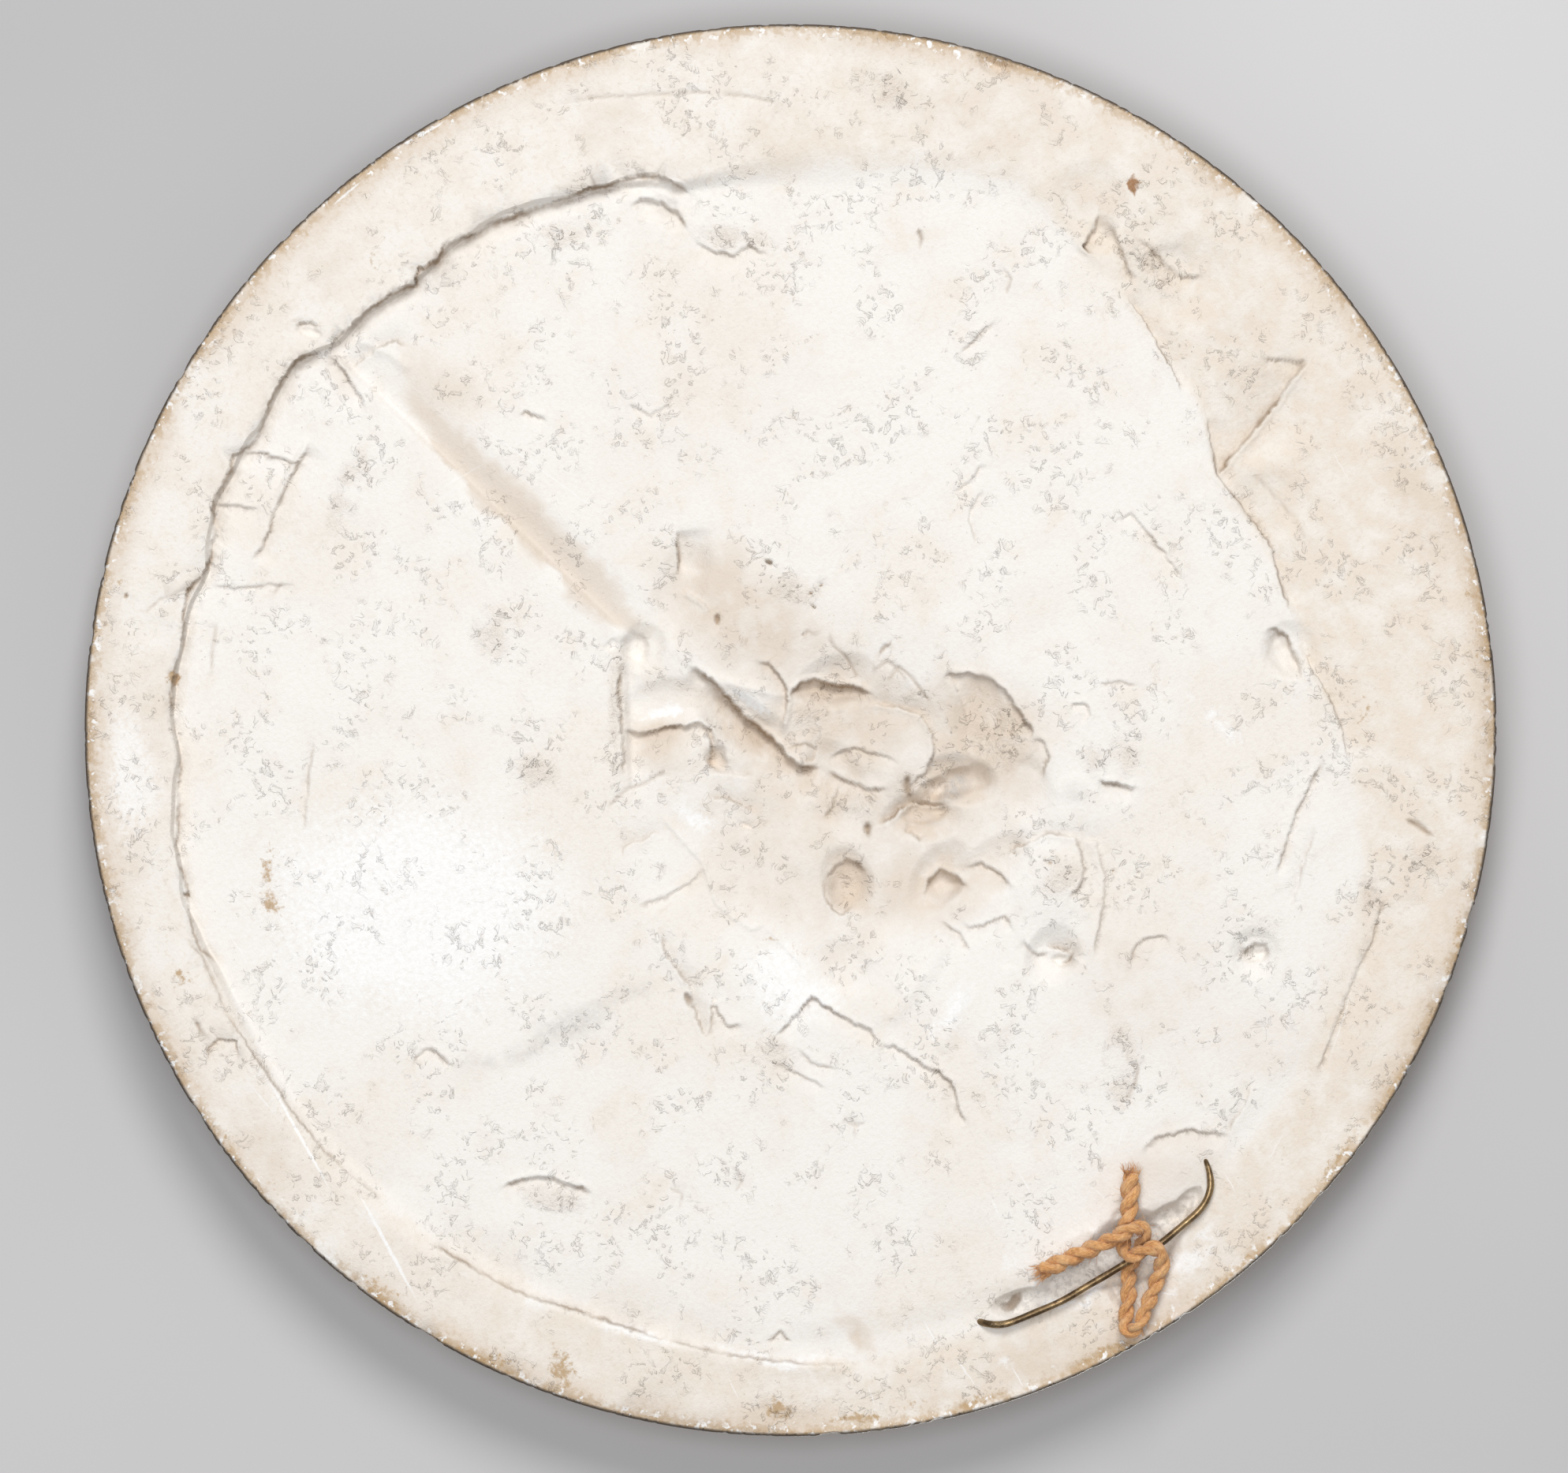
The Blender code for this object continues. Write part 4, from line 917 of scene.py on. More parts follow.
def make_plaster():
    """The cast disc in fine detail, as one closed surface."""
    number, angle = ring_coordinates(back_rings)
    radius = fine_back_radius(number, angle)
    x, z = radius * np.cos(angle), radius * np.sin(angle)
    back = np.column_stack((x, fine_back(x, z), z))
    back_faces = fast_ring_faces(back_rings)
    total = len(number)
    outer_count = 6 * back_rings

    front_number, front_angle = ring_coordinates(front_rings)
    front_radius = (disc_radius - side_lean) * front_number / front_rings
    x, z = front_radius * np.cos(front_angle), front_radius * np.sin(front_angle)
    front = np.column_stack((x, -fine_front(x, z), z))
    front_faces = fast_ring_faces(front_rings)[:, (0, 2, 1)] + total
    front_count = 6 * front_rings
    front_edge = total + ring_start(front_rings)

    around = np.arange(outer_count) * (2.0 * math.pi / outer_count)
    edge_x, edge_z = disc_radius * np.cos(around), disc_radius * np.sin(around)
    nick = nick_bumps[0] * np.clip(rough_noise(edge_x, edge_z, *nick_bumps[1:]), 0.0, 1.0)
    chip = chip_depth * smooth_step(3.0 * noise(edge_x, edge_z, chip_size, 95) - 1.6)
    side_rows = (
        (disc_radius - 0.3 * back_edge_inset, -0.35 * back_edge_round, 1.0),
        (disc_radius, -back_edge_round, 1.0),
        (disc_radius, -2.5 * back_edge_round, 0.6),
        (disc_radius, -side_middle, 0.2),
        (disc_radius, -side_low, 0.2),
        (disc_radius, front_edge_height - rim_thickness, 0.1),
    )
    parts = [back, front]
    starts = [ring_start(back_rings)]
    offset = total + len(front_number)
    for row_radius, level, share in side_rows:
        reach = row_radius - share * (nick + chip)
        parts.append(np.column_stack((reach * np.cos(around), np.full(outer_count, level), reach * np.sin(around))))
        starts.append(offset)
        offset += outer_count
    triangles = [back_faces, front_faces]
    step = np.arange(outer_count)
    after = (step + 1) % outer_count
    for upper, lower in zip(starts, starts[1:]):
        triangles.append(np.column_stack((upper + step, lower + step, lower + after)))
        triangles.append(np.column_stack((upper + step, lower + after, upper + after)))
    triangles.append(stitch(starts[-1], outer_count, front_edge, front_count))
    disc = closed_surface("plaster_surface", parts, triangles)
    shell = bmesh.new()
    shell.from_mesh(disc.data)
    bmesh.ops.recalc_face_normals(shell, faces=shell.faces)
    shell.to_mesh(disc.data)
    shell.free()

    thin = disc.modifiers.new("thin", "DECIMATE")
    thin.ratio = min(1.0, plaster_triangles / len(disc.data.polygons))
    bpy.context.view_layer.update()
    fine = bpy.data.meshes.new_from_object(disc.evaluated_get(bpy.context.evaluated_depsgraph_get()))
    disc.modifiers.clear()
    disc.data = fine
    fine.shade_smooth()
    return disc


def stitch(first, first_count, second, second_count):
    """Triangles between two rings with different numbers of vertices."""
    faces = []
    one, two = 0, 0
    while one < first_count or two < second_count:
        if two * first_count >= one * second_count and one < first_count:
            faces.append((first + one % first_count, second + two % second_count, first + (one + 1) % first_count))
            one += 1
        else:
            faces.append((first + one % first_count, second + two % second_count, second + (two + 1) % second_count))
            two += 1
    return np.array(faces)


class Graph:
    """Adds linked nodes to a material's tree."""

    def __init__(self, name):
        self.material = bpy.data.materials.new(name)
        self.material.use_nodes = True
        self.tree = self.material.node_tree
        self.shader = self.tree.nodes["Principled BSDF"]
        self.coordinate = self.add("ShaderNodeTexCoord").outputs["Object"]

    def add(self, kind, inputs=(), **settings):
        node = self.tree.nodes.new(kind)
        for key, value in settings.items():
            setattr(node, key, value)
        for key, value in dict(inputs).items():
            self.put(node.inputs[key], value)
        return node

    def put(self, socket, value):
        if isinstance(value, bpy.types.NodeSocket):
            self.tree.links.new(value, socket)
        else:
            socket.default_value = value

    def math(self, operation, one, two=0.0, clamp=False):
        node = self.add("ShaderNodeMath", {0: one, 1: two}, operation=operation, use_clamp=clamp)
        return node.outputs[0]

    def product(self, first, *others):
        for other in others:
            first = self.math("MULTIPLY", first, other)
        return first

    def uneven(self, value, noise, size, middle=0.5):
        """A value moved up and down by noise round its middle."""
        return self.math("ADD", value, self.product(self.math("SUBTRACT", noise, middle), size))

    def bump(self, height, strength, distance):
        """Bumps of the shader's surface, with their distance in metres."""
        node = self.add("ShaderNodeBump", {"Height": height})
        node.inputs["Strength"].default_value = strength
        node.inputs["Distance"].default_value = distance
        self.put(self.shader.inputs["Normal"], node.outputs[0])

    def vector(self, operation, one, two=(0.0, 0.0, 0.0)):
        return self.add("ShaderNodeVectorMath", {0: one, 1: two}, operation=operation).outputs[0]

    def scaled(self, vector, size):
        return self.add("ShaderNodeVectorMath", {0: vector, 3: size}, operation="SCALE").outputs[0]

    def ramp(self, value, low, high, start=0.0, end=1.0):
        node = self.add("ShaderNodeMapRange", interpolation_type="SMOOTHSTEP")
        for socket, number in zip(node.inputs, (value, low, high, start, end)):
            self.put(socket, number)
        return node.outputs[0]

    def noise(self, vector, scale, detail=2.0, roughness=0.5, distortion=0.0, solid=False):
        """Noise on the flat of the disc, or through the body where it is solid."""
        node = self.add("ShaderNodeTexNoise", noise_dimensions="3D" if solid else "2D")
        sizes = {"Vector": vector, "Scale": scale, "Detail": detail, "Roughness": roughness, "Distortion": distortion}
        for key, value in sizes.items():
            self.put(node.inputs[key], value)
        return node.outputs[0]

    def cloud(self, vector, scale, detail=2.0):
        node = self.add("ShaderNodeTexNoise", noise_dimensions="2D")
        for key, value in {"Vector": vector, "Scale": scale, "Detail": detail}.items():
            self.put(node.inputs[key], value)
        return node.outputs["Color"]

    def mix(self, share, one, two):
        node = self.add("ShaderNodeMix", data_type="RGBA")
        colours = [value if isinstance(value, bpy.types.NodeSocket) else (*value, 1.0) for value in (one, two)]
        for socket, value in zip((node.inputs[0], node.inputs[6], node.inputs[7]), (share, *colours)):
            self.put(socket, value)
        return node.outputs[2]

    def attribute(self, name):
        return self.add("ShaderNodeAttribute", attribute_name=name).outputs["Fac"]

    def spot(self, vector, centre, size, turn):
        """1 in the middle of an oval at a place in mm, falling evenly to 0 at its edge."""
        place_node = self.add("ShaderNodeMapping", {"Vector": vector}, vector_type="TEXTURE")
        place_node.inputs["Location"].default_value = (centre[0], centre[1], 0.0)
        place_node.inputs["Rotation"].default_value = (0.0, 0.0, math.radians(turn))
        place_node.inputs["Scale"].default_value = (0.5 * size[0], 0.5 * size[1], 1000.0)
        fall = self.add("ShaderNodeTexGradient", {"Vector": place_node.outputs[0]}, gradient_type="SPHERICAL")
        return fall.outputs["Fac"]

    def spots(self, vector, rows, edge):
        """Largest of several ovals given by photo centre, length and width in mm, turn and strength."""
        total = None
        for pixel_x, pixel_y, length, width, turn, strength in rows:
            centre = [value / MM for value in disc_point((pixel_x, pixel_y))]
            here = self.spot(vector, centre, (length, width), frame_turn(turn))
            here = self.ramp(here, 0.0, edge, 0.0, strength)
            total = here if total is None else self.math("MAXIMUM", total, here)
        return total


# Stains and scratches on the back: photo centre, length and width in mm, turn in the photo and strength
ochre_spots = (
    (341, 1112, 11, 7, 95, 0.9), (341, 1148, 9, 8, 60, 1.0), (341, 1078, 8, 3.5, 0, 0.8), (236, 1239, 12, 8, 0, 0.9),
    (430, 1577, 7, 15, 10, 1.0), (296, 1460, 15, 5, 55, 0.8), (392, 1534, 20, 10, 35, 0.8),
    (480, 1638, 18, 10, 45, 0.9),
    (532, 1672, 9, 4, 25, 0.8), (600, 1732, 34, 6, 26, 1.0), (634, 1724, 8, 6, 0, 0.8), (706, 1735, 10, 14, 0, 0.9),
    (180, 1275, 22, 3, 68, 0.7), (850, 1795, 14, 6, 8, 0.8), (985, 1797, 12, 8, 0, 0.9), (1100, 1800, 30, 4, -5, 0.8),
    (1240, 1772, 26, 4, -14, 0.8), (1400, 1722, 34, 5, -27, 0.9), (1560, 1622, 24, 4, -42, 0.8),
    (1690, 1470, 18, 4, -54, 0.8),
    (1762, 1375, 14, 6, -62, 0.9), (1850, 1180, 20, 4, -72, 0.7), (1888, 830, 16, 6, 84, 0.8),
    (1878, 760, 14, 8, 75, 0.7),
    (1800, 560, 18, 4, 62, 0.6), (1120, 40, 16, 5, 6, 0.8), (980, 38, 10, 4, 0, 0.6), (1200, 60, 12, 4, 12, 0.6),
    (214, 854, 5, 5.5, 0, 0.95), (476, 322, 6, 3.6, 80, 0.95), (345, 338, 12, 3, -52, 0.85),
    (378, 317, 2.4, 2.4, 0, 0.8), (1447, 243, 6, 5, 40, 0.95),
    (494, 210, 3, 2, 0, 0.4), (518, 268, 3, 2, 0, 0.4), (980, 1193, 7, 2.2, 20, 0.4), (1008, 1208, 6, 2, 40, 0.4),
    (982, 1797, 9, 6, 0, 0.7), (848, 1791, 8, 6, 0, 0.6), (708, 1733, 10, 7, 10, 0.5), (638, 1740, 9, 4, 25, 0.5),
    (1860, 996, 3, 2.4, 0, 0.8), (1753, 1389, 7, 5, -60, 0.5), (1108, 46, 9, 3, 0, 0.5), (1730, 905, 5, 7, 0, 0.35),
    (1187, 157, 2.6, 3.0, 60, 0.4), (470, 1648, 12, 5, 42, 0.45), (540, 1690, 12, 5, 35, 0.5),
    (350, 1520, 12, 5, 55, 0.45),
    (1446, 238, 3, 2.4, 20, 1.0), (1805, 1330, 12, 5, -65, 0.4), (1870, 830, 14, 5, 80, 0.5),
    (1885, 960, 16, 5, 85, 0.35),
    (152, 742, 8, 4, -70, 0.3), (1590, 1585, 14, 5, -45, 0.4), (1385, 1722, 18, 4, -26, 0.4),
    (1160, 1790, 22, 4, -12, 0.4),
)
beige_spots = (
    (1085, 1692, 14, 10, 30, 0.8), (1716, 512, 10, 16, 60, 0.35), (1858, 820, 8, 22, 80, 0.5),
    (1420, 1690, 22, 16, -40, 0.75),
    (1310, 1720, 30, 14, -15, 0.45), (1590, 1610, 30, 14, -50, 0.35), (760, 160, 40, 14, -20, 0.3),
    (420, 330, 40, 20, -45, 0.3),
    (1800, 640, 16, 50, -25, 0.55), (1860, 1100, 14, 50, 8, 0.35), (1780, 1380, 14, 50, 30, 0.5),
    (330, 1450, 14, 50, -35, 0.45),
    (480, 1640, 14, 40, -50, 0.5), (700, 1760, 44, 12, 20, 0.55), (1000, 1800, 50, 10, 0, 0.55),
    (1250, 1780, 44, 10, -12, 0.5),
    (200, 900, 14, 36, 0, 0.25), (170, 1080, 12, 30, 0, 0.3), (1560, 400, 26, 20, 30, 0.25),
    (430, 470, 16, 12, 40, 0.4),
    (560, 480, 40, 14, 44, 0.4), (980, 180, 60, 16, 0, 0.2), (1300, 130, 50, 16, 20, 0.25),
    (1600, 1320, 34, 26, 0, 0.25),
    (395, 1240, 10, 5, 0, 0.15), (1380, 250, 26, 14, 20, 0.25), (940, 775, 70, 40, 35, 0.75),
    (1250, 925, 48, 38, 40, 0.8),
    (1080, 905, 54, 34, 0, 0.6), (1180, 1125, 46, 22, 0, 0.45), (830, 945, 24, 20, 0, 0.7),
    (1075, 1112, 16, 18, 0, 0.7),
    (900, 500, 110, 70, 0, 0.14), (1450, 1250, 60, 50, 0, 0.25), (1480, 1480, 50, 30, -30, 0.35),
    (1230, 150, 60, 22, 15, 0.3),
)
grey_spots = (
    (702, 1308, 60, 6.5, -26, 0.5), (735, 1302, 22, 6.0, -24, 0.5), (620, 1345, 20, 4.5, -22, 0.4),
    (800, 1262, 18, 4.5, -28, 0.35),
    (560, 350, 18, 10, -30, 0.35), (1217, 997, 17, 8, -15, 0.95), (1180, 1034, 12, 4, -10, 0.35),
    (878, 1263, 3, 4, 0, 0.5),
    (1363, 997, 12, 9, 0, 0.25), (803, 818, 8, 6, 45, 0.35), (850, 265, 9, 6, 30, 0.4), (1060, 1130, 9, 10, 0, 0.25),
    (905, 945, 8, 5, 40, 0.35), (1172, 1034, 12, 5, -12, 0.4), (1400, 290, 8, 6, 60, 0.3),
)
band_spots = ((660, 648, 104, 12.5, 46, 0.62),)
white_spots = (
    (1468, 1592, 14, 4, -30, 0.7), (1500, 1600, 22, 8, -35, 0.7), (1540, 1570, 16, 7, -45, 0.6),
    (1390, 1640, 20, 4, -27, 0.8),
    (1340, 1650, 16, 3.5, -22, 0.8), (1560, 1620, 24, 3, -45, 0.6), (1290, 1600, 16, 8, -30, 0.5),
    (1400, 1560, 14, 6, -35, 0.5),
    (970, 1718, 52, 5, 8, 0.6), (800, 1690, 40, 5, 20, 0.55), (640, 1640, 40, 4, 30, 0.5),
    (1535, 905, 24, 2.6, 50, 0.7),
    (165, 980, 60, 22, 88, 0.55), (520, 1150, 120, 90, 0, 0.7), (1000, 1250, 40, 26, 40, 0.6),
    (880, 1040, 20, 10, 30, 0.6),
    (1550, 1640, 26, 2.2, -42, 0.8), (1350, 1700, 18, 1.6, 70, 0.6), (1270, 1720, 16, 1.5, 66, 0.6),
    (1490, 1640, 12, 5, -40, 0.7),
    (1548, 925, 14, 5, 55, 0.6), (952, 892, 18, 5, 35, 0.7), (840, 905, 18, 4.5, -10, 0.7),
    (1200, 1280, 26, 9, -60, 0.6),
)
scratch_spots = (
    (379, 1438, 42, 1.0, 60.6, 0.9), (491, 1579, 41, 1.2, 61.7, 0.9), (695, 602, 82, 0.45, 36, 0.45),
    (1300, 1500, 9, 0.5, 60, 0.6),
    (1262, 1530, 8, 0.5, 65, 0.6), (1330, 1450, 12, 0.5, 55, 0.5), (1390, 1510, 9, 0.5, 40, 0.6),
    (1420, 1445, 12, 0.5, -75, 0.5),
    (1180, 1690, 10, 0.6, 60, 0.7), (1225, 1740, 12, 0.6, 55, 0.7), (1290, 1745, 8, 0.6, 60, 0.6),
    (1105, 1770, 7, 0.6, 70, 0.6),
    (930, 1760, 8, 0.6, 65, 0.5), (1480, 1640, 7, 0.6, 10, 0.7), (1450, 1740, 9, 0.6, -20, 0.6),
    (1560, 1500, 9, 0.5, 60, 0.5),
    (1620, 1450, 12, 0.5, -60, 0.4), (1700, 1300, 26, 0.6, -72, 0.35), (1375, 1760, 10, 0.6, -30, 0.5),
    (380, 660, 12, 0.4, 60, 0.3),
    (590, 600, 18, 0.4, -30, 0.3), (1240, 300, 14, 0.4, 55, 0.3), (545, 165, 12, 0.8, -32, 0.8),
    (440, 245, 12, 0.9, -40, 0.8),
    (1700, 590, 12, 0.5, 60, 0.4), (820, 500, 14, 0.4, 10, 0.3), (330, 1390, 14, 0.6, 50, 0.5),
    (300, 1200, 9, 0.6, 55, 0.5),
)

rust_spots = ((1442, 240, 5.5, 7, 20, 1.0), (1183, 156, 2.4, 3.4, 60, 0.9))

white_plaster = (0.87, 0.845, 0.805)
cream_plaster = (0.795, 0.71, 0.61)
beige_plaster = (0.70, 0.595, 0.49)
edge_brown = (0.30, 0.22, 0.135)
ochre_stain = (0.49, 0.335, 0.18)
rust_stain = (0.33, 0.15, 0.05)
foot_shade_brown = (0.43, 0.33, 0.245)
plaster_grey = (0.52, 0.495, 0.47)
crack_and_shade_brown = (0.25, 0.165, 0.095)
craze_brown = (0.30, 0.225, 0.165)
fresh_white = (0.93, 0.925, 0.915)
paint_dark = (0.115, 0.088, 0.066)
paint_light = (0.42, 0.345, 0.255)
plaster_roughness = 0.93
paint_roughness = 0.55
plaster_gloss = 0.22
wire_dark = (0.12, 0.078, 0.04)
wire_brown = (0.36, 0.25, 0.13)
wire_dust = (0.62, 0.56, 0.46)
wire_metallic = 0.85
twine_dark = (0.50, 0.20, 0.055)
twine_orange = (0.91, 0.50, 0.20)
twine_pale = (0.93, 0.62, 0.32)
twine_roughness = 0.78
twine_sheen = 0.25
# Floor greys, shaded and lit, for its painted light
floor_shaded_grey = (0.490, 0.485, 0.488)
floor_lit_grey = (0.650, 0.642, 0.644)
floor_roughness = 0.75
floor_gloss = 0.2


def plaster_material():
    """Off-white plaster with beige hollows, stains, scratches and crazing, and a brown painted front."""
    g = Graph("plaster")
    split = g.add("ShaderNodeSeparateXYZ", {0: g.coordinate})
    across = g.product(split.outputs[0], 1.0 / MM)
    up = g.product(g.math("ADD", split.outputs[2], nail_to_centre), 1.0 / MM)
    flat = g.add("ShaderNodeCombineXYZ", {0: across, 1: up}).outputs[0]
    radius = g.add("ShaderNodeVectorMath", {0: flat}, operation="LENGTH").outputs["Value"]
    fine_warp = g.scaled(g.vector("SUBTRACT", g.cloud(flat, 0.5, 1.0), (0.5, 0.5, 0.5)), 0.5)
    front, rim, deep, coarse = (g.attribute(name) for name in ("front", "rim", "deep", "coarse"))

    # Noises of the flat back, from lumps 45 mm across to grains below 1 mm
    wide = g.noise(flat, 0.022, 2.0, 0.6)
    middle = g.noise(flat, 0.11, 3.0, 0.6)
    small = g.noise(flat, 0.55, 3.0, 0.65)
    grain = g.noise(flat, 1.5, 2.0, 0.6)
    speck = g.noise(flat, 0.7, 1.0, 0.7)

    # Plaster: warmer on the rim and in the hollow, with its stains, scraped strips and broad whiter patches
    warm = g.math("ADD", g.ramp(wide, 0.42, 0.66, 0.0, 0.30), g.ramp(middle, 0.50, 0.72, 0.0, 0.22))
    colour = g.mix(warm, white_plaster, cream_plaster)
    lean = g.math("ADD", g.product(across, 0.7), g.product(up, 0.75))
    rim_share = g.product(rim, g.ramp(middle, 0.30, 0.62, 0.35, 0.95), g.ramp(lean, -170.0, 150.0, 0.35, 0.95))
    colour = g.mix(rim_share, colour, cream_plaster)
    colour = g.mix(g.product(deep, g.ramp(middle, 0.28, 0.60, 0.45, 1.0)), colour, beige_plaster)
    colour = g.mix(g.product(coarse, 0.28), colour, beige_plaster)
    colour = g.mix(g.product(g.attribute("beige"), g.ramp(middle, 0.28, 0.58, 0.55, 1.0)), colour, beige_plaster)
    colour = g.mix(g.attribute("band"), colour, beige_plaster)
    colour = g.mix(g.product(g.attribute("grey"), g.ramp(small, 0.25, 0.6, 0.4, 1.0)), colour, plaster_grey)
    whitened = g.ramp(g.uneven(g.attribute("white"), small, 0.9), 0.1, 0.8)
    colour = g.mix(g.product(whitened, g.ramp(g.attribute("white"), 0.0, 0.1)), colour, fresh_white)
    colour = g.mix(g.product(g.ramp(small, 0.56, 0.70), g.product(rim, 0.28)), colour, beige_plaster)

    # Edge: a beige band, a brown one inside it, ochre and rust stains and white chips
    band = g.math("SUBTRACT", disc_radius / MM, radius)
    ragged = g.uneven(band, small, 9.0)
    stain_band = g.product(g.ramp(ragged, 1.5, 10.0, 0.85, 0.0), g.ramp(wide, 0.38, 0.56))
    colour = g.mix(stain_band, colour, beige_plaster)
    brown_band = g.product(g.ramp(ragged, 1.0, 4.4, 0.95, 0.0), g.ramp(middle, 0.37, 0.50))
    brown_band = g.product(brown_band, g.ramp(small, 0.40, 0.58, 0.50, 1.0))
    colour = g.mix(brown_band, colour, ochre_stain)
    torn = g.uneven(g.attribute("ochre"), small, 1.8, 0.56)
    colour = g.mix(g.ramp(torn, 0.0, 0.60, 0.0, 0.88), colour, ochre_stain)
    rusted = g.uneven(g.attribute("rust"), small, 0.6)
    colour = g.mix(g.ramp(rusted, 0.05, 0.40, 0.0, 0.9), colour, rust_stain)
    chips = g.product(g.ramp(ragged, 1.0, 5.0, 1.0, 0.0), g.ramp(g.noise(flat, 0.35, 2.0, 0.6), 0.60, 0.66))
    colour = g.mix(chips, colour, fresh_white)

    # Crazing: two sizes of curled lines in patches, with flakes beside the larger ones
    patchy = g.ramp(g.noise(flat, 0.055, 2.0, 0.6), 0.46, 0.62)
    where = g.math("ADD", g.product(patchy, 0.6), g.product(coarse, 0.8), clamp=True)
    broken = g.ramp(g.noise(flat, 0.30, 1.0, 0.5), 0.50, 0.58)
    curl = g.math("SUBTRACT", g.noise(flat, 0.26, 4.0, 0.62, 0.5), 0.5)
    line = g.product(g.ramp(g.math("ABSOLUTE", curl), 0.008, 0.036, 1.0, 0.0), where, broken)
    flake = g.product(g.ramp(curl, -0.02, 0.02), g.ramp(curl, 0.02, 0.16, 1.0, 0.0), where, broken)
    small_broken = g.ramp(g.noise(flat, 0.36, 1.0, 0.5), 0.57, 0.65)
    small_curl = g.math("SUBTRACT", g.noise(g.vector("ADD", flat, (31.0, 17.0, 0.0)), 0.62, 3.0, 0.62, 0.6), 0.5)
    small_line = g.ramp(g.math("ABSOLUTE", small_curl), 0.01, 0.06, 1.0, 0.0)
    small_where = g.math("ADD", g.ramp(wide, 0.44, 0.62, 0.12, 0.7), g.product(coarse, 0.5))
    small_line = g.product(small_line, small_broken, small_where)
    line = g.math("MAXIMUM", line, g.product(small_line, 0.7), clamp=True)
    colour = g.mix(g.product(line, g.ramp(coarse, 0.0, 1.0, 0.21, 0.42)), colour, craze_brown)

    # Scratches, pits, cracks and the shade below the lips
    colour = g.mix(g.spots(g.vector("ADD", flat, fine_warp), scratch_spots, 0.5), colour, fresh_white)
    pits = g.add("ShaderNodeTexVoronoi", {"Vector": flat, "Scale": 0.55, "Randomness": 1.0}).outputs["Distance"]
    pits = g.product(g.ramp(pits, 0.06, 0.16, 1.0, 0.0), g.ramp(g.noise(flat, 0.16, 2.0), 0.62, 0.68))
    colour = g.mix(g.product(pits, 0.35), colour, crack_and_shade_brown)
    # Grey in the grooves under the wire, greyer where they are deeper
    colour = g.mix(g.product(g.attribute("pocket"), g.ramp(small, 0.42, 0.62, 0.05, 0.55)), colour, plaster_grey)
    colour = g.mix(g.product(g.attribute("crack"), 0.7), colour, crack_and_shade_brown)
    # Painted shade: a soft brown fall and a dark line on each lip's low side stand for its shadow, the line partly dirt
    # too
    colour = g.mix(g.product(g.attribute("foot"), g.ramp(small, 0.30, 0.62, 0.55, 1.0)), colour, foot_shade_brown)
    colour = g.mix(g.product(g.attribute("shade"), 0.95), colour, crack_and_shade_brown)
    colour = g.mix(g.ramp(speck, 0.40, 0.72, 0.0, 0.10), colour, beige_plaster)

    # Front: dark paint, rubbed paler on the crests and worn through in specks
    edge_line = g.ramp(g.uneven(band, small, 2.0), 0.35, 0.85, 1.0, 0.0)
    painted = g.math("MAXIMUM", front, edge_line)
    crest = g.attribute("crest")
    paint = g.mix(g.ramp(g.uneven(crest, small, 0.7), 0.35, 0.95), paint_dark, paint_light)
    paint = g.mix(g.ramp(g.noise(g.coordinate, 60.0, 4.0, 0.65, solid=True), 0.45, 0.75, 0.0, 0.35), paint, edge_brown)
    bare = g.ramp(g.noise(g.coordinate, 150.0, 3.0, 0.6, solid=True), 0.66, 0.72)
    paint = g.mix(g.product(bare, g.ramp(crest, 0.2, 0.8), 0.8), paint, cream_plaster)
    g.put(g.shader.inputs["Base Color"], g.mix(painted, colour, paint))
    g.put(g.shader.inputs["Roughness"], g.ramp(painted, 0.0, 1.0, plaster_roughness, paint_roughness))
    g.shader.inputs["Specular IOR Level"].default_value = plaster_gloss

    tooth = g.product(grain, g.math("ADD", g.product(coarse, 0.12), 0.07))
    lumps = g.product(g.noise(flat, 0.8, 3.0, 0.65), g.math("ADD", g.product(coarse, 0.55), 0.20))
    relief = g.math("ADD", g.math("ADD", tooth, lumps), g.product(flake, 0.45))
    g.bump(g.product(relief, g.ramp(front, 0.0, 1.0, 1.0, 0.45)), 0.9, 0.9 * MM)
    return g.material


def wire_material():
    """Old brass wire gone brown, with bright streaks and plaster dust."""
    g = Graph("brass_wire")
    blotch = g.noise(g.coordinate, 260.0, 4.0, 0.6, solid=True)
    fine = g.noise(g.coordinate, 1400.0, 3.0, 0.6, solid=True)
    colour = g.mix(g.ramp(blotch, 0.38, 0.66), wire_dark, wire_brown)
    colour = g.mix(g.ramp(fine, 0.62, 0.72, 0.0, 0.55), colour, wire_dust)
    g.put(g.shader.inputs["Base Color"], colour)
    g.put(g.shader.inputs["Roughness"], g.ramp(fine, 0.3, 0.7, 0.28, 0.52))
    g.shader.inputs["Metallic"].default_value = wire_metallic
    g.bump(fine, 0.25, 0.1 * MM)
    return g.material


def twine_material():
    """Orange-tan plant fibre, streaked along its plies."""
    g = Graph("twine")
    streak_at = g.add("ShaderNodeCombineXYZ", {0: g.attribute("along"), 1: g.attribute("round")}).outputs[0]
    stretched = g.vector("MULTIPLY", streak_at, (1.2, 14.0, 1.0))
    streak = g.noise(stretched, 1.0, 5.0, 0.7)
    blotch = g.noise(g.coordinate, 220.0, 3.0, 0.6, solid=True)
    colour = g.mix(g.ramp(streak, 0.30, 0.70), twine_dark, twine_orange)
    colour = g.mix(g.ramp(blotch, 0.45, 0.70, 0.0, 0.45), colour, twine_pale)
    g.put(g.shader.inputs["Base Color"], colour)
    g.shader.inputs["Roughness"].default_value = twine_roughness
    g.shader.inputs["Sheen Weight"].default_value = twine_sheen
    g.bump(streak, 0.9, 0.35 * MM)
    return g.material


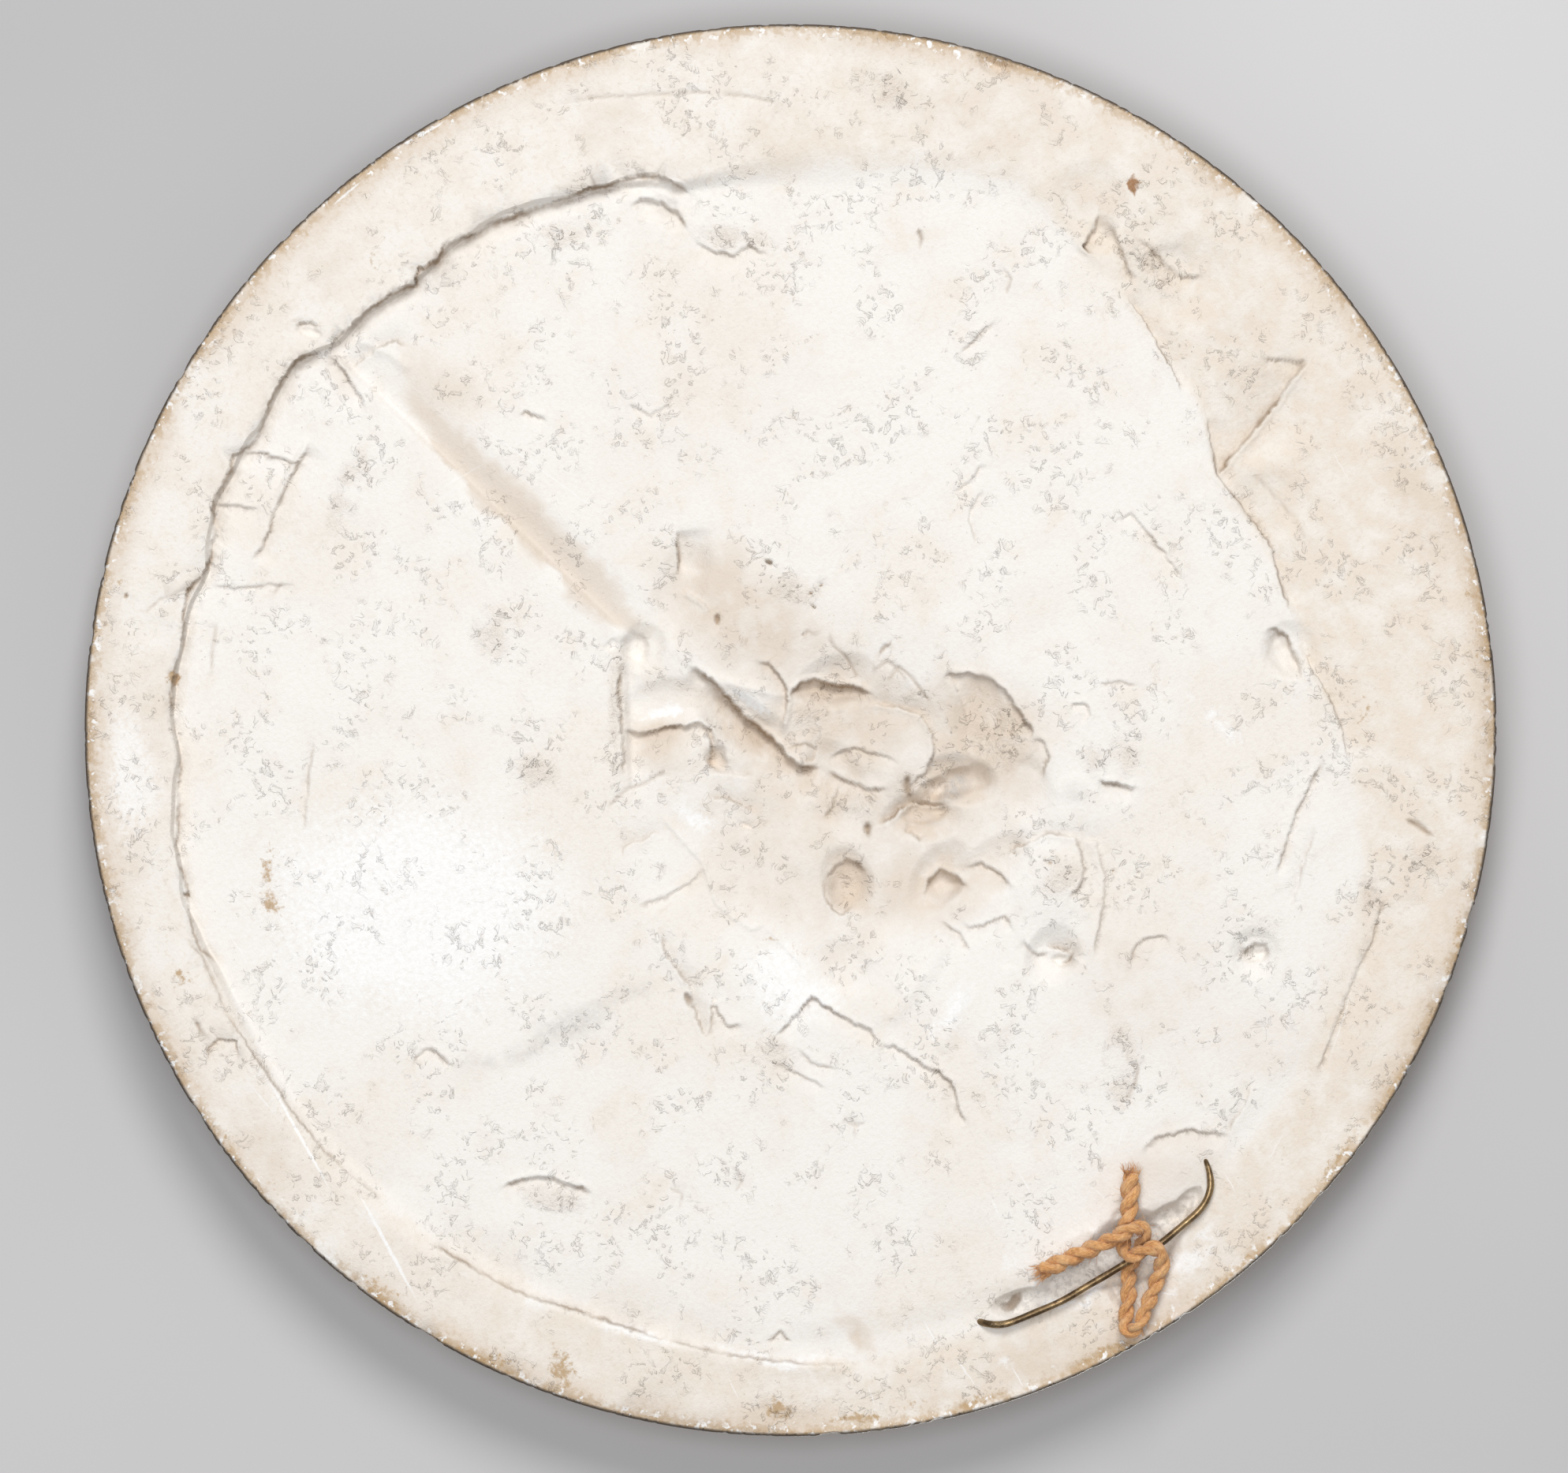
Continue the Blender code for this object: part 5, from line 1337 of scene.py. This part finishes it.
def floor_material():
    """Pale grey floor, seen only from its upper side, with painted light: darker and lighter across the frame as the
    light falls off over it.
    """
    g = Graph("floor")
    # Painted light: the grey goes darker and lighter from corner to corner of the frame, standing for the light falling
    # off over the floor
    turn = math.radians(roll_degrees)
    rightward, downward = (math.cos(turn), 0.0, math.sin(turn)), (-math.sin(turn), 0.0, math.cos(turn))
    centred = g.vector("ADD", g.coordinate, (0.0, 0.0, nail_to_centre))
    across = g.add("ShaderNodeVectorMath", {0: centred, 1: rightward}, operation="DOT_PRODUCT").outputs["Value"]
    down = g.add("ShaderNodeVectorMath", {0: centred, 1: downward}, operation="DOT_PRODUCT").outputs["Value"]
    across, down = g.ramp(across, -0.24, 0.24, -1.1, 1.1), g.ramp(down, -0.23, 0.23, -1.1, 1.1)
    corner_shading = g.product(across, down, -0.25)
    share = g.math("ADD", g.math("ADD", corner_shading, g.product(across, 0.2)), 0.5)
    wide = g.noise(g.coordinate, 3.0, 3.0, 0.5, solid=True)
    share = g.math("ADD", share, g.ramp(wide, 0.3, 0.7, -0.08, 0.08), clamp=True)
    g.put(g.shader.inputs["Base Color"], g.mix(share, floor_shaded_grey, floor_lit_grey))
    g.shader.inputs["Roughness"].default_value = floor_roughness
    g.shader.inputs["Specular IOR Level"].default_value = floor_gloss
    clear = g.add("ShaderNodeBsdfTransparent")
    facing = g.add("ShaderNodeNewGeometry").outputs["Backfacing"]
    both = g.add("ShaderNodeMixShader", {0: facing, 1: g.shader.outputs[0], 2: clear.outputs[0]})
    output = g.tree.nodes["Material Output"]
    g.tree.links.new(both.outputs[0], output.inputs["Surface"])
    return g.material


def set_value(mesh, name, values):
    """Stores one number per vertex."""
    layer = mesh.attributes.new(name, "FLOAT", "POINT")
    layer.data.foreach_set("value", np.asarray(values, dtype=np.float32))


def stain(x, z, rows, edge):
    """Strength of the strongest oval stain at each vertex, fading over a share of its size."""
    (broad, broad_size), (fine, fine_size) = stain_bends
    x = x + broad * noise(x, z, broad_size, 101) + fine * noise(x, z, fine_size, 102)
    z = z + broad * noise(x, z, broad_size, 103) + fine * noise(x, z, fine_size, 104)
    total = np.full_like(x, -1.0)
    for pixel_x, pixel_y, length, wide, turn, strength in rows:
        centre_x, centre_z = disc_point((pixel_x, pixel_y))
        heading = math.radians(frame_turn(turn))
        off_x, off_z = x - centre_x, z - centre_z
        along = (off_x * math.cos(heading) + off_z * math.sin(heading)) / (0.5 * length * MM)
        across = (off_z * math.cos(heading) - off_x * math.sin(heading)) / (0.5 * wide * MM)
        cone = 1.0 - np.hypot(along, across)
        total = np.maximum(total, strength * (np.clip(cone / edge, 0.0, 1.0) if edge else cone))
    return np.maximum(total, 0.0 if edge else -1.0)


def colour_plaster(disc):
    """Stores where the plaster is rim, hollow, coarse, cracked, stained, shaded, front or crest."""
    mesh = disc.data
    flat = np.empty(3 * len(mesh.vertices), dtype=np.float32)
    mesh.vertices.foreach_get("co", flat)
    point = flat.reshape(-1, 3).astype(float)
    x, out, z = point[:, 0], point[:, 1] + nail_to_back, point[:, 2] + nail_to_centre
    radius = np.hypot(x, z)
    back = (radius < disc_radius - 0.5 * back_edge_inset) & (out > back_limit)
    edge, _ = field_edge(np.arctan2(z, x))
    set_value(mesh, "front", np.where(back, 0.0, 1.0))
    set_value(mesh, "rim", smooth_step((radius - edge + 2.0 * MM) / (4.0 * MM)) * back)
    level = field_level + field_rise_x * x + field_rise_z * z
    inside = smooth_step((edge - 2.0 * MM - radius) / (3.0 * MM))
    away = np.hypot(x - hollow_centre[0], z - hollow_centre[1]) / hollow_radius
    deep = np.clip((level - out - 1.0 * MM) / (7.0 * MM), 0.0, 1.0) * inside * smooth_step(2.2 * (1.15 - away))
    set_value(mesh, "deep", deep * back)
    set_value(mesh, "coarse", coarse_share(x, z) * back)
    set_value(mesh, "pocket", smooth_step((groove_depth(x, z) - pocket_start) / pocket_fade) * back)
    crack = np.zeros_like(x)
    for depth, half_width, pixels in cracks.values():
        near, distance, _, _, _ = near_line(x, z, pixels, 3.0 * half_width * MM)
        crack[near] = np.maximum(crack[near], np.exp(-(distance / (0.8 * half_width * MM)) ** 2) * min(1.0, depth))
    uneven_x, uneven_z = bent(x, z)
    for row in dents.values():
        if row[5] > dark_dent_depth and row[2] < dark_dent_length and row[3] < dark_dent_width:
            crack = np.maximum(crack, patch(uneven_x, uneven_z, row, mark_edge_power))
    set_value(mesh, "crack", crack * back)
    for name, rows, edge in (("beige", beige_spots, 0.6), ("grey", grey_spots, 0.8), ("white", white_spots, 0.6),
                             ("band", band_spots, 0.12), ("ochre", ochre_spots, 0.0), ("rust", rust_spots, 0.0)):
        set_value(mesh, name, np.where(back, stain(x, z, rows, edge), 0.0 if edge else -1.0))
    # Painted shade on the low side of each lip: a dark line just past it, partly dirt and partly shadow, and a softer
    # brown fall that stands for its shadow
    shade, foot = np.zeros_like(x), np.zeros_like(x)
    for drop, _, low_side, pixels in lips.values():
        near, beside, ends = beside_lip(x, z, pixels, low_side, shade_reach)
        line_width = (0.30 + 0.08 * drop) * MM
        line = np.exp(-((beside - 0.25 * MM) / line_width) ** 2) * min(0.85, 0.15 + 0.45 * drop) * ends
        uneven = smooth_step(0.5 + 0.9 * noise(x[near], z[near], shade_bumps, 9))
        shade[near] = np.maximum(shade[near], line * (0.25 + 0.75 * uneven))
        fading = np.exp(-(np.maximum(beside, 0.0) / foot_shade_width) ** 1.4) * min(0.9, 0.26 * drop ** 1.5)
        below = smooth_step(beside / lip_slope) * fading * (0.55 + 0.45 * uneven) * ends
        foot[near] = np.maximum(foot[near], below)
    set_value(mesh, "shade", shade * back)
    set_value(mesh, "foot", foot * back)
    thick = -out
    swell = np.clip((thick - ground_thickness) / (rim_thickness - ground_thickness), 0.0, 1.0)
    set_value(mesh, "crest", swell * ~back)


def fine_route(route, count):
    """Evenly spaced points, as an array, on one smooth curve through the route."""
    knots = np.array([(across, out, nail_to_edge / MM - down) for across, down, out in route])
    knots = (knots - np.array((0.0, nail_to_back / MM, 0.0))) * MM
    knots = np.concatenate(([2.0 * knots[0] - knots[1]], knots, [2.0 * knots[-1] - knots[-2]]))
    t = np.linspace(0.0, 1.0, steps_per_knot, endpoint=False)[:, None]
    parts = []
    for a, b, c, d in zip(knots, knots[1:], knots[2:], knots[3:]):
        cubic = (3.0 * b - a - 3.0 * c + d) * t ** 3
        parts.append(0.5 * (2.0 * b + (c - a) * t + (2.0 * a - 5.0 * b + 4.0 * c - d) * t ** 2 + cubic))
    line = np.concatenate(parts + [knots[-2:-1]])
    lengths = np.concatenate(([0.0], np.cumsum(np.linalg.norm(np.diff(line, axis=0), axis=1))))
    wanted = np.linspace(0.0, lengths[-1], count)
    return np.column_stack([np.interp(wanted, lengths, line[:, axis]) for axis in range(3)]), lengths[-1]


def travelling_frames(line):
    """Direction and two steady side directions at each point of a line."""
    forward = np.gradient(line, axis=0)
    forward /= np.linalg.norm(forward, axis=1)[:, None]
    side = np.cross(forward[0], (0.0, 1.0, 0.0))
    side /= np.linalg.norm(side)
    sides = []
    for step in range(len(line)):
        side = side - forward[step] * np.dot(side, forward[step])
        side = side / np.linalg.norm(side)
        sides.append(side)
    sides = np.array(sides)
    return forward, sides, np.cross(forward, sides)


def tube_surface(line, radii, sides, first_side, second_side):
    """Rings of a tube round a line, and its triangles with closed ends."""
    turn = np.arange(sides) * (2.0 * math.pi / sides)
    rings = line[:, None, :] + radii[:, :, None] * (
        np.cos(turn)[None, :, None] * first_side[:, None, :] + np.sin(turn)[None, :, None] * second_side[:, None, :]
    )
    count = len(line)
    step = np.arange(sides)
    after = (step + 1) % sides
    blocks = []
    for ring in range(count - 1):
        low, high = ring * sides, (ring + 1) * sides
        blocks.append(np.column_stack((low + step, low + after, high + after)))
        blocks.append(np.column_stack((low + step, high + after, high + step)))
    last = (count - 1) * sides
    blocks.append(np.array([(0, k + 1, k) for k in range(1, sides - 1)]))
    blocks.append(np.array([(last, last + k, last + k + 1) for k in range(1, sides - 1)]))
    return rings.reshape(-1, 3), np.concatenate(blocks)


def mesh_object(name, points, faces, item_material, values=()):
    """Smooth object made from point and triangle blocks, with its numbers per vertex."""
    total = 0
    shifted = []
    for block, triangles in zip(points, faces):
        shifted.append(triangles + total)
        total += len(block)
    mesh = bpy.data.meshes.new(name)
    mesh.from_pydata(np.concatenate(points).tolist(), [], np.concatenate(shifted).tolist())
    for key, blocks in dict(values).items():
        set_value(mesh, key, np.concatenate(blocks))
    mesh.shade_smooth()
    mesh.materials.append(item_material)
    item = bpy.data.objects.new(name, mesh)
    bpy.context.collection.objects.link(item)
    return item


def make_twine():
    """Two plies twisted round each other along the route, with loose fibres and frayed ends."""
    fibre_random = np.random.default_rng(7)
    count = twine_steps
    line, length = fine_route(twine_route, count)
    _, first, second = travelling_frames(line)
    walked = np.linspace(0.0, length, count)
    ends = np.minimum(walked, length - walked)
    full = 1.0 + tail_flare * np.clip(1.0 - ends / twine_tail, 0.0, 1.0) + twine_swell * np.sin(walked / swell_length)
    points, faces, along, round_it = [], [], [], []
    sides = ply_sides
    ply_lines = []
    for ply in (0.0, math.pi):
        phase = 2.0 * math.pi * walked / twine_pitch + ply
        out = np.cos(phase)[:, None] * first + np.sin(phase)[:, None] * second
        ply_line = line + ply_offset * full[:, None] * out
        ply_forward, ply_first, ply_second = travelling_frames(ply_line)
        turn = np.arange(sides) * (2.0 * math.pi / sides)
        strand = 1.0
        for strength, folds, twist in ply_folds:
            strand = strand + strength * np.sin(folds * turn[None, :] + twist * phase[:, None])
        ragged = 1.0 + ply_ripple * np.sin(walked / ripple_length + ply)[:, None]
        close = np.clip(ends / ply_tip, ply_tip_share, 1.0)[:, None]
        radii = ply_radius * full[:, None] * strand * ragged * close
        block, triangles = tube_surface(ply_line, radii, sides, ply_first, ply_second)
        points.append(block)
        faces.append(triangles)
        along.append(np.repeat(walked / MM, sides))
        round_it.append(np.tile(np.abs(turn - math.pi) / math.pi, count) + ply)
        ply_lines.append((ply_line, ply_forward, ply_first, ply_second))
    twine = mesh_object("twine", points, faces, twine_material(), {"along": along, "round": round_it})

    points, faces, along, round_it = [], [], [], []
    for fibre in range(fibre_count):
        ply_line, ply_forward, ply_first, ply_second = ply_lines[fibre % 2]
        at_end = fibre < frayed_count
        if at_end:
            start = (0 if fibre % 4 < 2 else count - 1)
            heading = -ply_forward[start] if start == 0 else ply_forward[start]
            start = start + (int(fibre_random.integers(0, 10)) if start == 0 else -int(fibre_random.integers(0, 10)))
            reach = fibre_random.uniform(*frayed_reach) * MM
        else:
            start = int(fibre_random.integers(4, count - 4))
            heading = ply_forward[start] * fibre_random.choice((-1.0, 1.0))
            reach = fibre_random.uniform(*fibre_reach) * MM
        turn = fibre_random.uniform(0.0, 2.0 * math.pi)
        outward = math.cos(turn) * ply_first[start] + math.sin(turn) * ply_second[start]
        curl = np.cross(heading, outward) * fibre_random.uniform(-0.9, 0.9)
        lift = fibre_random.uniform(0.15, 0.5) if at_end else fibre_random.uniform(0.15, 0.75)
        t = np.linspace(0.0, 1.0, fibre_steps)[:, None]
        root = ply_line[start] + (0.7 if at_end else 0.9) * ply_radius * outward
        path = root + reach * (t * heading + lift * t ** 1.5 * outward + 0.5 * t ** 2 * curl)
        _, side_one, side_two = travelling_frames(path)
        thick = fibre_random.uniform(*fibre_thickness) * MM
        radii = np.repeat(np.linspace(thick, 0.4 * thick, fibre_steps)[:, None], 3, axis=1)
        block, triangles = tube_surface(path, radii, 3, side_one, side_two)
        points.append(block)
        faces.append(triangles)
        along.append(np.full(len(block), fibre_random.uniform(0.0, 90.0)))
        round_it.append(np.full(len(block), fibre_random.uniform(0.0, 4.0)))
    fibres = mesh_object("twine_fibres", points, faces, twine.data.materials[0], {"along": along, "round": round_it})
    return twine, fibres, line, length


def make_wire():
    """The hanger wire, with slight kinks and a thinner tip."""
    count = wire_steps
    line, _ = fine_route(wire_route, count)
    _, first, second = travelling_frames(line)
    place_on = np.linspace(0.0, 1.0, count)
    kink = 0.10 * MM * np.sin(23.0 * place_on) + 0.07 * MM * np.sin(41.0 * place_on + 1.0)
    line = line + kink[:, None] * first * np.sin(math.pi * place_on)[:, None]
    thick = wire_radius * (1.0 + 0.03 * np.sin(60.0 * place_on)) * np.clip((1.0 - place_on) / 0.13, 0.55, 1.0) ** 0.6
    radii = np.repeat(thick[:, None], wire_sides, axis=1)
    block, triangles = tube_surface(line, radii, wire_sides, first, second)
    return mesh_object("wire", [block], [triangles], wire_material())


def make_camera():
    """Camera straight above the back, turned as the photo is."""
    turn = math.radians(roll_degrees)
    right = Vector((math.cos(turn), 0.0, math.sin(turn)))
    upward = Vector((math.sin(turn), 0.0, -math.cos(turn)))
    data = bpy.data.cameras.new("camera")
    data.sensor_width = sensor_width
    data.lens = sensor_width * camera_distance / (photo_width * pixel_mm * MM)
    data.clip_start = 0.05
    data.clip_end = 20.0
    camera = bpy.data.objects.new("camera", data)
    bpy.context.collection.objects.link(camera)
    x, z = disc_point((0.5 * photo_width, 0.5 * photo_height))
    turned = Matrix((right, upward, Vector((0.0, 1.0, 0.0)))).transposed().to_4x4()
    camera.matrix_world = Matrix.Translation((x, camera_distance - nail_to_back, z - nail_to_centre)) @ turned
    bpy.context.scene.camera = camera


def area_light(name, photo_direction, height, distance, size, power, colour):
    """Soft light that shines at the disc from a photo direction in degrees, with y down."""
    aim = Vector((0.0, -0.5 * rim_thickness, -nail_to_centre))
    heading = math.radians(frame_turn(photo_direction))
    rise = math.radians(height)
    away = Vector((math.cos(rise) * math.cos(heading), math.sin(rise), math.cos(rise) * math.sin(heading)))
    data = bpy.data.lights.new(name, "AREA")
    data.shape = "DISK"
    data.size = size
    data.energy = power
    data.color = colour
    light = bpy.data.objects.new(name, data)
    bpy.context.collection.objects.link(light)
    light.location = aim + distance * away
    light.rotation_mode = "QUATERNION"
    light.rotation_quaternion = away.to_track_quat("Z", "Y")
    return light


def make_stage():
    """Pale floor under the moulded front, the world's light and the soft lights."""
    half = 0.5 * floor_width
    level = -nail_to_back - rim_thickness - floor_gap
    corners = [(-half, level, -half), (half, level, -half), (half, level, half), (-half, level, half)]
    mesh = bpy.data.meshes.new("floor")
    mesh.from_pydata(corners, [], [(3, 2, 1, 0)])
    mesh.materials.append(floor_material())
    floor = bpy.data.objects.new("floor", mesh)
    bpy.context.collection.objects.link(floor)
    floor.visible_shadow = False
    floor.visible_diffuse = False
    floor.visible_glossy = False
    world = bpy.data.worlds.new("pale_room")
    world.use_nodes = True
    world.node_tree.nodes["Background"].inputs["Color"].default_value = (*world_colour, 1.0)
    world.node_tree.nodes["Background"].inputs["Strength"].default_value = world_strength
    bpy.context.scene.world = world
    for name, direction, height, distance, size, power, colour in light_rows:
        area_light(name, direction, height, distance, size, power, colour)
    bpy.context.scene.view_settings.view_transform = "Standard"


# Twine and wire: lay, fibres and fineness of their meshes
twine_pitch = 10.5 * MM
ply_offset = 1.0 * MM
ply_radius = 1.24 * MM
twine_tail = 22.0 * MM
fibre_count = 900
frayed_count = 260
tail_flare = 0.30
twine_swell = 0.05
swell_length = 5.3 * MM
ply_folds = ((0.10, 3.0, 2.4), (0.05, 5.0, -1.7))
ply_ripple = 0.06
ripple_length = 1.1 * MM
ply_tip = 1.5 * MM
ply_tip_share = 0.35
frayed_reach = (1.6, 3.6)
fibre_reach = (1.0, 3.2)
fibre_thickness = (0.05, 0.10)
twine_steps = 560
ply_sides = 14
fibre_steps = 7
steps_per_knot = 24
wire_steps = 150
wire_sides = 20

# Floor and light. Each light has its direction in the photo and its height above the floor in degrees,
# its distance and size in metres, its power in watts and its colour
floor_gap = 0.2 * MM
floor_width = 4.0
world_strength = 0.30
world_colour = (0.96, 0.97, 1.0)
light_rows = (
    ("key", -84.0, 54.0, 2.6, 1.1, 35.5, (1.0, 0.99, 0.975)),
    ("top_fill", 150.0, 84.0, 1.5, 0.7, 9.2, (1.0, 1.0, 1.0)),
    ("front_light", 60.0, -55.0, 1.8, 0.9, 26.0, (1.0, 0.99, 0.97)),
)

make_camera()
twine, fibres, twine_line, twine_length = make_twine()
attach(twine, "root")
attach(fibres, "root")
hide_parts("hanging_twine")
wire = make_wire()
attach(wire, "root")
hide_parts("hanger_wire")
plaster = make_plaster()
colour_plaster(plaster)
plaster.data.materials.clear()
plaster.data.materials.append(plaster_material())
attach(plaster, "root")
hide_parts("plaster_relief")
make_stage()
